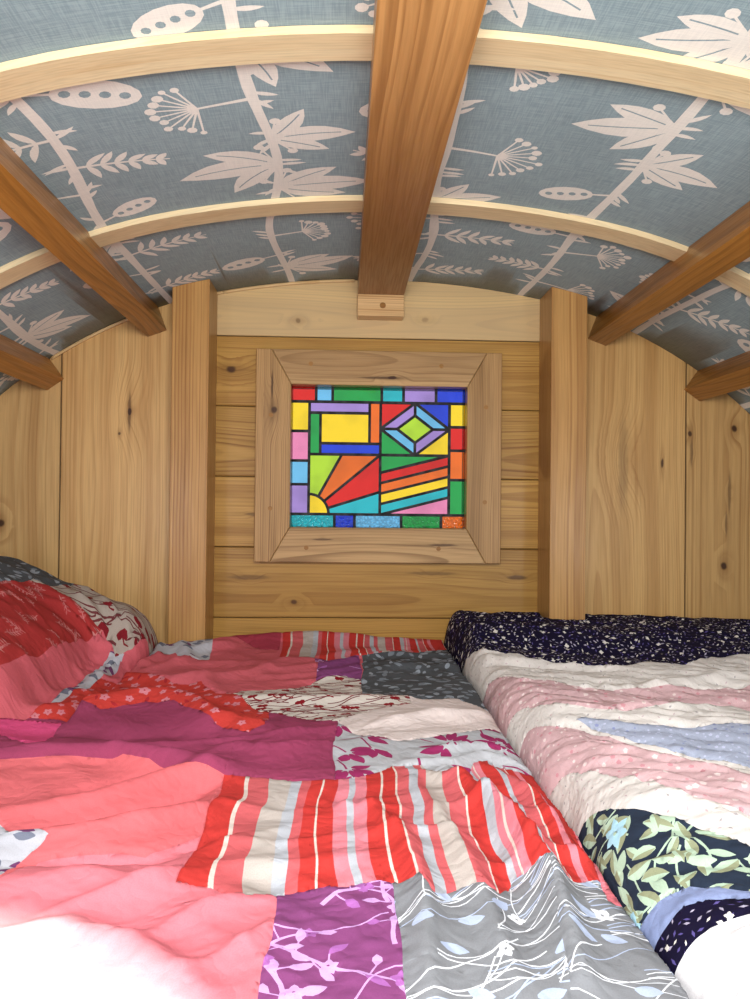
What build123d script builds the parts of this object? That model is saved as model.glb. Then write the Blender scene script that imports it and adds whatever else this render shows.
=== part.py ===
"""The bed end of a bow-top vardo wagon, from its floor to its canvas.

The rear wall is matchboarded between two posts and has a leaded window in a wide mitred
frame. Three thin bows carry the roof with a flat ridge beam and two purlins a side, which
are housed over the bows. A lining and a canvas lie on them, and both come down to a rail on
each low boarded side. The rails also carry a slatted bed across the wagon, with its
mattress and bedding. The front end is open, where the next length of the body joins on.

Sizes are in millimetres and angles in degrees. X runs across the wagon, +Y towards its rear
wall and +Z up. The origin is at the middle of the underside.
"""

from build123d import *
import math
import os

# Clearances
FIT = 0.3
SHRINKAGE = 1.0
MITRE_GAP = 0.5
CUT = 1.0

# The arch is the lining's inner face. It has three arcs a side, from the crown out.
CROWN_RADIUS = 1800.0
CROWN_ANGLE = 11.0
SHOULDER_RADIUS = 1000.0
SHOULDER_ANGLE = 32.0
EAVE_RADIUS = 280.0

# The length of the body that this end takes up, and the boards that close it
LENGTH = 1340.0
BOARD_THICK = 20.0
TRIM_THICK = 20.0
TONGUE = 6.0
V_JOINT = 2.0

# Floor
SILL_WIDTH = 70.0
SILL_DEPTH = 70.0
BEARER_WIDTH = 70.0
BEARER_COUNT = 3
FLOOR_THICK = 22.0
FLOORBOARD_COUNT = 12
BEARER_TENON = 25.0
CHASSIS_BOLT_RADIUS = 6.5
CHASSIS_BOLT_SPACING = 900.0

# Low sides, with the rail that carries the bows and the bed
RAIL_TOP = 880.0
RAIL_DEPTH = 60.0
RAIL_WIDTH = 44.0
SIDE_POST = 44.0
SIDE_BOARD_COUNT = 9
BOW_SEAT = 15.0
BOW_UPRIGHT = 504.0
BATTEN_DEPTH = 44.0
BATTEN_THICK = 20.0
BATTEN_LAP = 18.0
BATTEN_BEVEL = 4.0

# Rear wall
WALL_FOOT = 48.0
POST_INNER = 356.0
POST_WIDTH = 76.0
POST_DEPTH = 98.0
TOP_BOARD = 130.0
BOARD_COVER = 154.0
WIDE_BOARD = 296.0
CROWN_BOARD_WIDTH = 60.0

# Window frame: the side members run through, and the mitres start inside the corners
FRAME_WIDTH = 534.0
FRAME_HEIGHT = 460.0
FRAME_DROP = 163.0
FRAME_MEMBER = 76.0
FRAME_MITRE = 33.0
FRAME_THICK = 30.0
FRAME_ARRIS = 1.5
REBATE = 8.0
OUTER_MEMBER = 60.0

# Leaded light
FLANGE_WIDTH = 6.0
FLANGE_THICK = 1.0
WEB_THICK = 1.6
GLASS_THICK = 3.0
GLASS_PLAY = 0.1
GLASS_SIDE_PLAY = 0.4
BORDER_TOP = 40.0
BORDER_BOTTOM = 36.0
BORDER_LEFT = 46.0
BORDER_RIGHT = 42.0
FIELD_SPLIT_X = 4.0
FIELD_SPLIT_Z = 6.0
SUN_RADIUS = 44.0

# Roof
BOW_THICK = 9.0
BOW_WIDTH = 48.0
BOW_COUNT = 3
RIDGE_WIDTH = 100.0
RIDGE_DEPTH = 44.0
PURLIN_WIDTH = 44.0
PURLIN_DEPTH = 54.0
UPPER_PURLIN_ANGLE = 20.6
LOWER_PURLIN_ANGLE = 35.5
CLEAT_HEIGHT = 46.0
CLEAT_DEPTH = 40.0
LINING_THICK = 3.0
CANVAS_THICK = 6.0

# Bed
BED_SETBACK = 26.0
BED_BEAM_WIDTH = 44.0
BED_BEAM_DEPTH = 95.0
LEDGER_DEPTH = 60.0
BED_LEG = 44.0
TENON_LENGTH = 20.0
TENON_THICK = 20.0
TENON_SHOULDER = 15.0
SLAT_COUNT = 18
SLAT_WIDTH = 70.0
SLAT_THICK = 20.0
MATTRESS_THICK = 140.0
MATTRESS_PLAY = 6.0

# Bedding, as plain solids of the room that each piece takes up
DUVET_THICK = 46.0
DUVET_DROP = 150.0
DUVET_HANG = 20.0
QUILT_LEFT = 146.0
QUILT_THICK = 84.0
QUILT_ROLL_HEIGHT = 122.0
QUILT_ROLL_LENGTH = 230.0
PILLOW_GAP = 2.0
PILLOW_LENGTH = 540.0
PILLOW_WIDTH = 470.0
PILLOW_HEIGHT = 225.0
PILLOW_TOE = 36.0
SOFT_ROUND = 14.0

SHOULDER_END = CROWN_ANGLE + SHOULDER_ANGLE


def polar(radius, turn):
    """The step of that length, turned clockwise from straight up."""
    return radius * math.sin(math.radians(turn)), radius * math.cos(math.radians(turn))


def arch_arcs(springing):
    """Centre x, centre z, radius, first turn and last turn of the three arcs on the right.

    They are drawn from the crown's centre out, then lifted so that the last one starts to
    bend in from the upright at the springing.
    """
    arcs = []
    x, z, radius = 0.0, 0.0, CROWN_RADIUS
    for next_radius, start, end in (
        (SHOULDER_RADIUS, 0.0, CROWN_ANGLE),
        (EAVE_RADIUS, CROWN_ANGLE, SHOULDER_END),
        (EAVE_RADIUS, SHOULDER_END, 90.0),
    ):
        arcs.append((x, z, radius, start, end))
        step_x, step_z = polar(radius - next_radius, end)
        x, z, radius = x + step_x, z + step_z, next_radius
    lift = springing - arcs[-1][1]
    return [(x, z + lift, radius, start, end) for x, z, radius, start, end in arcs]


ARCS = arch_arcs(RAIL_TOP + BOW_UPRIGHT)


def on_arch(turn, grow=0.0):
    """The point of the arch where it has turned that far from level, moved out by grow."""
    for x, z, radius, start, end in ARCS:
        if abs(turn) <= end:
            step_x, step_z = polar(radius + grow, abs(turn))
            return math.copysign(x + step_x, turn), z + step_z
    raise ValueError("the arch turns through 90 degrees a side")


HALF_WIDTH = on_arch(90.0)[0]
CROWN_HEIGHT = on_arch(0.0)[1]

# Planes across the wagon's length
FRONT = -LENGTH / 2
REAR = LENGTH / 2
WALL_OUT = REAR - TRIM_THICK
WALL_IN = WALL_OUT - BOARD_THICK
POST_FRONT = WALL_IN - POST_DEPTH
BED_FRONT = FRONT + BED_SETBACK

# Heights
FLOOR_TOP = SILL_DEPTH + FLOOR_THICK
RAIL_FOOT = RAIL_TOP - RAIL_DEPTH
BOW_FOOT = RAIL_FOOT + BOW_SEAT
BATTEN_FOOT = RAIL_FOOT - BATTEN_DEPTH + BATTEN_LAP
CANVAS_FOOT = BATTEN_FOOT + BATTEN_LAP
DECK_TOP = RAIL_TOP + SLAT_THICK
MATTRESS_TOP = DECK_TOP + MATTRESS_THICK
FRAME_TOP = CROWN_HEIGHT - FRAME_DROP
FRAME_FOOT = FRAME_TOP - FRAME_HEIGHT
WINDOW_MIDDLE = (FRAME_TOP + FRAME_FOOT) / 2

# Widths
SIDE_IN = HALF_WIDTH - BOARD_THICK
SILL_IN = SIDE_IN - SILL_WIDTH
RAIL_IN = HALF_WIDTH - RAIL_WIDTH
SIDE_POST_IN = SIDE_IN - SIDE_POST
BOW_IN = HALF_WIDTH - BOW_THICK
CANVAS_OUT = LINING_THICK + CANVAS_THICK
WALL_SEAM = POST_INNER + POST_WIDTH / 2


def block(x, y, z):
    """A box from its lowest and highest x, y and z."""
    size = (x[1] - x[0], y[1] - y[0], z[1] - z[0])
    return Pos(x[0], y[0], z[0]) * Box(*size, align=(Align.MIN,) * 3)


def upright(profile, start, end):
    """A profile drawn in x and z, carried from y = start to y = end."""
    return extrude(Plane.XZ.offset(-start) * profile, amount=end - start, dir=(0, 1, 0))


def outline(points):
    """A flat shape with straight sides."""
    return Polygon(*points, align=None)


def mirrored(shape):
    """The same piece on the other side of the wagon."""
    return mirror(shape, about=Plane.YZ)


def both_sides(shape):
    """A piece of the right side and its twin on the left."""
    return [shape, mirrored(shape)]


def arch_area(grow, foot):
    """All that lies under the arch, moved out by grow, and above z = foot."""
    turns = [-90.0, -SHOULDER_END, -CROWN_ANGLE, CROWN_ANGLE, SHOULDER_END, 90.0]
    edges = []
    for start, end in zip(turns, turns[1:]):
        middle = (start + end) / 2
        points = [on_arch(turn, grow) for turn in (start, middle, end)]
        edges.append(ThreePointArc(*points))
    left, right = on_arch(-90.0, grow), on_arch(90.0, grow)
    edges.append(Polyline(right, (right[0], foot), (left[0], foot), left))
    return make_face(edges)


def arch_band(inner, outer, foot):
    """The strip between two growths of the arch, open below."""
    return arch_area(outer, foot) - arch_area(inner, foot - CUT)


def under_lining(shape, start=FRONT, end=REAR):
    """What is left of a shape below the lining."""
    return shape & upright(arch_area(0.0, 0.0), start, end)


def board_section(cover, thick):
    """A matchboard's section: x across its width, y through it, the tongue at the far edge."""
    near, far = SHRINKAGE / 2, cover - SHRINKAGE / 2
    low, high = thick / 3, thick * 2 / 3
    return outline(
        [
            (near + V_JOINT, 0),
            (far - V_JOINT, 0),
            (far, V_JOINT),
            (far, low),
            (far + TONGUE, low),
            (far + TONGUE, high),
            (far, high),
            (far, thick - V_JOINT),
            (far - V_JOINT, thick),
            (near + V_JOINT, thick),
            (near, thick - V_JOINT),
            (near, high + FIT),
            (near + TONGUE, high + FIT),
            (near + TONGUE, low - FIT),
            (near, low - FIT),
            (near, V_JOINT),
        ]
    )


def board(cover, thick, origin, across, through, length):
    """A matchboard from its groove edge: across and through are directions of its section."""
    along = Vector(*across).cross(Vector(*through))
    plane = Plane(origin=origin, x_dir=across, z_dir=tuple(along))
    return extrude(plane * board_section(cover, thick), amount=length)


def courses(top, foot, cover):
    """Heights of the joints between level boards. The lowest board takes what is left."""
    joints = [top]
    while joints[-1] - cover > foot + cover * 0.4:
        joints.append(joints[-1] - cover)
    return joints + [foot]


def bow_fronts():
    """The front plane of each bow. Their middles are spaced evenly from the wall's face."""
    spacing = (WALL_IN - FRONT - BOW_WIDTH / 2) / BOW_COUNT
    return [FRONT + spacing * index for index in range(BOW_COUNT)]


def bow_room():
    """What the bows take out of the timbers that they stand in or lie on."""
    band = arch_band(-BOW_THICK, CANVAS_OUT, BOW_FOOT)
    return [upright(band, front - FIT, front + BOW_WIDTH + FIT) for front in bow_fronts()]


def beam_middles():
    """Where the two bed beams cross the wagon: the middle of each along y."""
    return [BED_FRONT + BED_BEAM_WIDTH / 2, (BED_FRONT + WALL_IN) / 2]


def beam_tenon(middle, clearance):
    """The right stub tenon of a bed beam, or with a clearance the mortice that takes it."""
    half = TENON_THICK / 2 + clearance
    return block(
        (RAIL_IN - CUT, RAIL_IN + TENON_LENGTH + clearance),
        (middle - half, middle + half),
        (RAIL_FOOT + TENON_SHOULDER - clearance, RAIL_TOP - TENON_SHOULDER + clearance),
    )


def bearer_tenon(front, clearance):
    """The right tenon of a floor bearer, or with a clearance the mortice that takes it."""
    third = BEARER_WIDTH / 3
    return block(
        (SILL_IN - CUT, SILL_IN + BEARER_TENON + clearance),
        (front + third - clearance, front + 2 * third + clearance),
        (SILL_DEPTH / 4 - clearance, SILL_DEPTH * 3 / 4 + clearance),
    )


def leg_tenon(clearance):
    """The tenon on a right bed leg, or with a clearance the mortice in the beam over it."""
    middle = BED_FRONT + BED_LEG / 2
    third = BED_LEG / 3 + 2 * clearance
    foot = RAIL_TOP - BED_BEAM_DEPTH
    return block(
        (WALL_SEAM - third / 2, WALL_SEAM + third / 2),
        (middle - third / 2, middle + third / 2),
        (foot - CUT, foot + TENON_LENGTH + clearance),
    )


def side_post_room(clearance):
    """The front side posts, grown, to notch the beam that passes over them."""
    shape = block(
        (SIDE_POST_IN - clearance, SIDE_IN),
        (FRONT - clearance, FRONT + SIDE_POST + clearance),
        (FLOOR_TOP, RAIL_FOOT + clearance),
    )
    return both_sides(shape)


def floor():
    """Two sills, cross bearers and boards, drilled for the bolts to the running gear."""
    sill = block((SILL_IN, SIDE_IN), (FRONT, WALL_IN), (0, SILL_DEPTH))
    bolts = [
        Pos(x, y, 0) * Cylinder(CHASSIS_BOLT_RADIUS, 2 * (FLOOR_TOP + CUT))
        for x in (SILL_IN + SILL_WIDTH / 2, -SILL_IN - SILL_WIDTH / 2)
        for y in (-CHASSIS_BOLT_SPACING / 2, CHASSIS_BOLT_SPACING / 2)
    ]
    step = (WALL_IN - FRONT - BEARER_WIDTH) / (BEARER_COUNT - 1)
    bearer_fronts = [FRONT + step * index for index in range(BEARER_COUNT)]
    bearers = [
        block((-SILL_IN, SILL_IN), (y, y + BEARER_WIDTH), (0, SILL_DEPTH))
        + both_sides(bearer_tenon(y, 0.0))
        for y in bearer_fronts
    ]
    sill = sill - (bolts + [bearer_tenon(y, FIT) for y in bearer_fronts])
    cover = (2 * SIDE_IN - TONGUE) / FLOORBOARD_COUNT
    boards = [
        board(
            cover,
            FLOOR_THICK,
            (-SIDE_IN + cover * index, WALL_IN, SILL_DEPTH),
            (1, 0, 0),
            (0, 0, 1),
            WALL_IN - FRONT,
        )
        for index in range(FLOORBOARD_COUNT)
    ]
    boards[0] = boards[0] - bolts
    boards[-1] = boards[-1] - bolts
    return {
        "sill_right": [sill],
        "sill_left": [mirrored(sill)],
        "floor_bearers": bearers,
        "floor_boards": boards,
    }


def right_side():
    """Boards, posts, bow rail and canvas batten of the low right side."""
    cover = (WALL_IN - FRONT - TONGUE) / SIDE_BOARD_COUNT
    boards = [
        board(
            cover,
            BOARD_THICK,
            (SIDE_IN, FRONT + cover * index, WALL_FOOT),
            (0, 1, 0),
            (1, 0, 0),
            WALL_FOOT - RAIL_FOOT,
        )
        for index in range(SIDE_BOARD_COUNT)
    ]
    posts = [
        block((SIDE_POST_IN, SIDE_IN), (y, y + SIDE_POST), (FLOOR_TOP, RAIL_FOOT))
        for y in (FRONT, WALL_IN - SIDE_POST)
    ]
    rail = block((RAIL_IN, HALF_WIDTH), (FRONT, WALL_IN), (RAIL_FOOT, RAIL_TOP))
    mortices = [beam_tenon(middle, FIT) for middle in beam_middles()]
    rail = rail - (bow_room() + mortices)
    rebate, out = HALF_WIDTH + CANVAS_OUT, HALF_WIDTH + CANVAS_OUT + BATTEN_THICK
    foot, top = BATTEN_FOOT, BATTEN_FOOT + BATTEN_DEPTH
    batten = outline(
        [
            (HALF_WIDTH, foot),
            (out - BATTEN_BEVEL, foot),
            (out, foot + BATTEN_BEVEL),
            (out, top - 2 * BATTEN_BEVEL),
            (out - 2 * BATTEN_BEVEL, top),
            (rebate, top),
            (rebate, CANVAS_FOOT),
            (HALF_WIDTH, CANVAS_FOOT),
        ]
    )
    return {
        "boards": boards,
        "posts": posts,
        "rail": [rail],
        "batten": [upright(batten, FRONT, WALL_OUT)],
    }


def sides():
    """The right side and its twin."""
    made = {}
    for piece, shapes in right_side().items():
        made[f"side_{piece}_right"] = shapes
        made[f"side_{piece}_left"] = [mirrored(shape) for shape in shapes]
    return made


def rear_wall():
    """Level boards between the posts, upright boards outside them, and the outer trim."""
    opening = window_opening(WALL_IN, WALL_OUT)
    joints = [CROWN_HEIGHT] + courses(CROWN_HEIGHT - TOP_BOARD, WALL_FOOT, BOARD_COVER)
    centre = []
    for top, foot in zip(joints, joints[1:]):
        whole = board(
            top - foot,
            BOARD_THICK,
            (WALL_SEAM - FIT, WALL_IN, foot),
            (0, 0, 1),
            (0, 1, 0),
            2 * (WALL_SEAM - FIT),
        )
        centre += under_lining(whole - opening).solids()
    outer = [
        board(
            cover,
            BOARD_THICK,
            (start, WALL_IN, CROWN_HEIGHT),
            (1, 0, 0),
            (0, 1, 0),
            WALL_FOOT - CROWN_HEIGHT,
        )
        for start, cover in (
            (WALL_SEAM, WIDE_BOARD),
            (WALL_SEAM + WIDE_BOARD, HALF_WIDTH + TONGUE - WALL_SEAM - WIDE_BOARD),
        )
    ]
    outer = [under_lining(piece) for piece in outer]
    post = block(
        (POST_INNER, POST_INNER + POST_WIDTH), (POST_FRONT, WALL_IN), (FLOOR_TOP, CROWN_HEIGHT)
    )
    post = under_lining(post)
    crown = arch_band(-CROWN_BOARD_WIDTH, CANVAS_OUT, BATTEN_FOOT)
    return {
        "wall_boards_centre": centre,
        "wall_boards_right": outer,
        "wall_boards_left": [mirrored(piece) for piece in outer],
        "wall_post_right": [post],
        "wall_post_left": [mirrored(post)],
        "crown_board": [upright(crown, WALL_OUT, REAR)],
        "corner_boards": both_sides(
            block(
                (HALF_WIDTH - CROWN_BOARD_WIDTH, HALF_WIDTH + CANVAS_OUT),
                (WALL_OUT, REAR),
                (WALL_FOOT, BATTEN_FOOT - SHRINKAGE),
            )
        ),
    }


OPENING_WIDTH = FRAME_WIDTH - 2 * FRAME_MEMBER + 2 * REBATE
OPENING_HEIGHT = FRAME_HEIGHT - 2 * FRAME_MEMBER + 2 * REBATE


def window_rectangle(width, height):
    """A rectangle about the window's middle."""
    return Pos(0, WINDOW_MIDDLE) * Rectangle(width, height)


def window_opening(start, end):
    """The hole that the leaded light stands in."""
    return upright(window_rectangle(OPENING_WIDTH, OPENING_HEIGHT), start, end)


def frame_member(points, start, end):
    """One board of the window frame, with its front arrises eased."""
    face = offset(outline(points), amount=-MITRE_GAP / 2, kind=Kind.INTERSECTION)
    member = upright(face, start, end)
    front = member.faces().sort_by(Axis.Y)[0]
    return chamfer(front.edges(), FRAME_ARRIS)


def window_frame():
    """Inside: two full-height sides with a top and a bottom cut between them."""
    edge, foot, top = FRAME_WIDTH / 2, FRAME_FOOT, FRAME_TOP
    inner, start = edge - FRAME_MEMBER, edge - FRAME_MITRE
    side = [
        (edge, foot),
        (edge, top),
        (start, top),
        (inner, top - FRAME_MEMBER),
        (inner, foot + FRAME_MEMBER),
        (start, foot),
    ]
    head = [
        (-start, top),
        (-inner, top - FRAME_MEMBER),
        (inner, top - FRAME_MEMBER),
        (start, top),
    ]
    sill = [(x, foot + top - z) for x, z in head]
    front, back = WALL_IN - FRAME_THICK, WALL_IN
    right = frame_member(side, front, back)
    return {
        "frame_side_right": [right],
        "frame_side_left": [mirrored(right)],
        "frame_head": [frame_member(head, front, back)],
        "frame_sill": [frame_member(sill, front, back)],
    }


def ring_strips(width, height, member, start, end):
    """A rectangular frame of four butted strips, the level ones between the upright ones."""
    out_x, out_z = width / 2 + member, height / 2 + member
    level = outline(
        [
            (-width / 2 + FIT, height / 2),
            (width / 2 - FIT, height / 2),
            (width / 2 - FIT, out_z),
            (-width / 2 + FIT, out_z),
        ]
    )
    stile = outline([(width / 2, -out_z), (out_x, -out_z), (out_x, out_z), (width / 2, out_z)])
    shapes = [level, mirror(level, about=Plane.XZ), stile, mirror(stile, about=Plane.YZ)]
    return [upright(Pos(0, WINDOW_MIDDLE) * shape, start, end) for shape in shapes]


def window_outside():
    """Glazing beads behind the leaded light, and a plain frame on the outside."""
    sight_width = OPENING_WIDTH - 2 * REBATE
    sight_height = OPENING_HEIGHT - 2 * REBATE
    light_back = WALL_IN + FIT + GLASS_THICK + 2 * (GLASS_PLAY + FLANGE_THICK)
    return {
        "glazing_beads": ring_strips(
            sight_width, sight_height, REBATE - FIT, light_back + FIT, WALL_OUT
        ),
        "outer_frame": ring_strips(sight_width, sight_height, OUTER_MEMBER, WALL_OUT, REAR),
    }


def rectangle_cell(left, foot, right, top):
    """An upright rectangular pane."""
    return outline([(left, foot), (right, foot), (right, top), (left, top)])


def row_cells(table, left, right, foot, top):
    """Panes side by side: each row of the table is a colour and a share of the width."""
    total = sum(share for _, share in table)
    cells, start = [], left
    for colour, share in table:
        end = start + (right - left) * share / total
        cells.append((colour, rectangle_cell(start, foot, end, top)))
        start = end
    return cells


def column_cells(table, left, right, foot, top):
    """Panes one above another, from the foot up, by the same kind of table."""
    total = sum(share for _, share in table)
    cells, start = [], foot
    for colour, share in table:
        end = start + (top - foot) * share / total
        cells.append((colour, rectangle_cell(left, start, right, end)))
        start = end
    return cells


def nested_square_cells(left, foot, right, top):
    """A square pane with a strip round each side, laid like a pinwheel."""
    side = (top - foot) * 0.21
    return [
        ("yellow", rectangle_cell(left + side, foot + side, right - side, top - side)),
        ("green", rectangle_cell(left, foot, left + side, top - side)),
        ("violet", rectangle_cell(left, top - side, right - side, top)),
        ("orange", rectangle_cell(right - side, foot + side, right, top)),
        ("blue", rectangle_cell(left + side, foot, right, foot + side)),
    ]


def lozenge_cells(left, foot, right, top):
    """A lozenge in a ring of four panes, with a corner pane outside each."""
    x, z = (left + right) / 2, (foot + top) / 2
    tips = [(x, top), (right, z), (x, foot), (left, z)]
    inner = [(x + (px - x) * 0.52, z + (pz - z) * 0.52) for px, pz in tips]
    corners = [(right, top), (right, foot), (left, foot), (left, top)]
    cells = [("lime", outline(inner))]
    ring = ("sky", "violet", "sky", "violet")
    outside = ("blue", "yellow", "green", "red")
    for index in range(4):
        after = (index + 1) % 4
        band = [tips[index], tips[after], inner[after], inner[index]]
        cells.append((ring[index], outline(band)))
        cells.append((outside[index], outline([tips[index], corners[index], tips[after]])))
    return cells


def sunrise_cells(left, foot, right, top):
    """A quarter sun in the lower left corner, with rays that spread from it."""
    width, height = right - left, top - foot
    ends = [
        (right, foot),
        (right, foot + height * 0.38),
        (right, top),
        (left + width * 0.46, top),
        (left, top),
    ]
    hub = (left, foot)
    disc = Pos(*hub) * Circle(SUN_RADIUS)
    cells = [("yellow", rectangle_cell(left, foot, right, top) & disc)]
    for index, colour in enumerate(("turquoise", "red", "orange", "lime")):
        cells.append((colour, outline([hub, *ends[index : index + 2]]) - disc))
    return cells


def slanted_cells(left, foot, right, top):
    """Bars that slope up to the right, one above another."""
    slope = (top - foot) * 0.3
    bar = (top - foot - slope) / 4
    colours = ("pink", "turquoise", "yellow", "orange", "red")
    cuts = [foot + bar * index for index in range(5)]
    cells = [("pink", outline([(left, foot), (right, foot), (right, foot + slope)]))]
    for colour, low, high in zip(colours[1:], cuts, cuts[1:]):
        strip = [(left, low), (right, low + slope), (right, high + slope), (left, high)]
        cells.append((colour, outline(strip)))
    cells.append(("green", outline([(left, cuts[-1]), (right, top), (left, top)])))
    return cells


def window_cells():
    """Colour and shape of every pane, out to the middle of its cames."""
    edge_x, edge_z = OPENING_WIDTH / 2 - FIT, OPENING_HEIGHT / 2 - FIT
    left, right = -edge_x + BORDER_LEFT, edge_x - BORDER_RIGHT
    foot, top = -edge_z + BORDER_BOTTOM, edge_z - BORDER_TOP
    x, z = FIELD_SPLIT_X, FIELD_SPLIT_Z
    rows = (
        ("red", 5), ("sky", 3), ("green", 9), ("turquoise", 4), ("violet", 6), ("blue", 6)
    )
    base = (("turquoise", 7), ("blue", 3), ("sky", 7), ("green", 6), ("orange", 4))
    cells = row_cells(rows, -edge_x, edge_x, top, edge_z)
    cells += row_cells(base, -edge_x, edge_x, -edge_z, foot)
    start = (("violet", 5), ("sky", 4), ("pink", 5), ("yellow", 5))
    cells += column_cells(start, -edge_x, left, foot, top)
    finish = (("green", 6), ("orange", 5), ("red", 4), ("yellow", 4))
    cells += column_cells(finish, right, edge_x, foot, top)
    cells += nested_square_cells(left, z, x, top)
    cells += lozenge_cells(x, z, right, top)
    cells += sunrise_cells(left, foot, x, z)
    cells += slanted_cells(x, foot, right, z)
    return cells


def leaded_light():
    """Panes held in lead cames: a web between them and a flange over both faces."""
    cells = window_cells()

    def inset(face, amount):
        return offset(face, amount=-amount, kind=Kind.INTERSECTION)

    def lattice(width):
        sheet = Rectangle(OPENING_WIDTH - 2 * FIT, OPENING_HEIGHT - 2 * FIT)
        return sheet - [inset(face, width / 2) for _, face in cells]

    def placed(face, start, end):
        return upright(Pos(0, WINDOW_MIDDLE) * face, start, end)

    front = WALL_IN + FIT
    channel = front + FLANGE_THICK
    channel_end = channel + GLASS_THICK + 2 * GLASS_PLAY
    flange, web = lattice(FLANGE_WIDTH), lattice(WEB_THICK)
    cames = placed(flange, front, channel) + placed(web, channel, channel_end)
    cames = cames + placed(flange, channel_end, channel_end + FLANGE_THICK)
    made = {"lead_cames": [cames]}
    glass_front = channel + GLASS_PLAY
    for colour, face in cells:
        pane = inset(face, WEB_THICK / 2 + GLASS_SIDE_PLAY)
        made.setdefault(f"panes_{colour}", []).append(
            placed(pane, glass_front, glass_front + GLASS_THICK)
        )
    return made


def purlin(turn):
    """A purlin on the right, square to the arch, cut to the lining and housed over the bows."""
    x, z = on_arch(turn)
    section = outline(
        [
            (-PURLIN_WIDTH / 2, -PURLIN_DEPTH),
            (PURLIN_WIDTH / 2, -PURLIN_DEPTH),
            (PURLIN_WIDTH / 2, PURLIN_WIDTH),
            (-PURLIN_WIDTH / 2, PURLIN_WIDTH),
        ]
    )
    timber = upright(Pos(x, z) * Rot(0, 0, -turn) * section, FRONT, WALL_IN)
    return under_lining(timber) - bow_room()


def roof():
    """Bows, ridge beam and cleat, purlins, lining and canvas."""
    band = arch_band(-BOW_THICK, 0.0, BOW_FOOT)
    made = {
        f"bow_{index + 1}": [upright(band, front, front + BOW_WIDTH)]
        for index, front in enumerate(bow_fronts())
    }
    half = RIDGE_WIDTH / 2
    ridge_foot = CROWN_HEIGHT - RIDGE_DEPTH
    ridge = block((-half, half), (FRONT, WALL_IN), (ridge_foot, CROWN_HEIGHT))
    made["ridge_beam"] = [under_lining(ridge) - bow_room()]
    made["ridge_cleat"] = [
        block((-half, half), (WALL_IN - CLEAT_DEPTH, WALL_IN), (ridge_foot - CLEAT_HEIGHT, ridge_foot))
    ]
    for name, turn in (("upper", UPPER_PURLIN_ANGLE), ("lower", LOWER_PURLIN_ANGLE)):
        right = purlin(turn)
        made[f"purlin_{name}_right"] = [right]
        made[f"purlin_{name}_left"] = [mirrored(right)]
    lining = arch_band(0.0, LINING_THICK, CANVAS_FOOT)
    canvas = arch_band(LINING_THICK, CANVAS_OUT, CANVAS_FOOT)
    made["roof_lining"] = [upright(lining, FRONT, WALL_OUT)]
    made["roof_canvas"] = [upright(canvas, FRONT, WALL_OUT)]
    return made


def wall_post_room(clearance):
    """The wall posts, grown, to notch what is fitted round them."""
    shape = block(
        (POST_INNER - clearance, POST_INNER + POST_WIDTH + clearance),
        (POST_FRONT - clearance, WALL_IN),
        (FLOOR_TOP, CROWN_HEIGHT),
    )
    return both_sides(shape)


def bed():
    """Beams and a ledger between the rails, legs under the front, and slats over all."""
    beam_foot = RAIL_TOP - BED_BEAM_DEPTH
    span = (-RAIL_IN, RAIL_IN)
    half = BED_BEAM_WIDTH / 2
    beams = []
    for middle in beam_middles():
        beam = block(span, (middle - half, middle + half), (beam_foot, RAIL_TOP))
        beam = beam - (side_post_room(FIT) + both_sides(leg_tenon(FIT)))
        beams.append(beam + both_sides(beam_tenon(middle, 0.0)))
    ledger = block(
        span, (WALL_IN - BED_BEAM_WIDTH, WALL_IN), (RAIL_TOP - LEDGER_DEPTH, RAIL_TOP)
    )
    leg = block(
        (WALL_SEAM - BED_LEG / 2, WALL_SEAM + BED_LEG / 2),
        (BED_FRONT, BED_FRONT + BED_LEG),
        (FLOOR_TOP, beam_foot),
    )
    leg = leg + leg_tenon(0.0)
    room = 2 * (BOW_IN - FIT) - SLAT_WIDTH
    slats = []
    for index in range(SLAT_COUNT):
        left = -BOW_IN + FIT + room * index / (SLAT_COUNT - 1)
        slat = block((left, left + SLAT_WIDTH), (BED_FRONT, WALL_IN), (RAIL_TOP, DECK_TOP))
        slats += (slat - wall_post_room(FIT)).solids()
    return {
        "bed_front_beam": [beams[0]],
        "bed_middle_beam": [beams[1]],
        "bed_ledger": (ledger - wall_post_room(FIT)).solids(),
        "bed_legs": both_sides(leg),
        "bed_slats": slats,
    }


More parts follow.
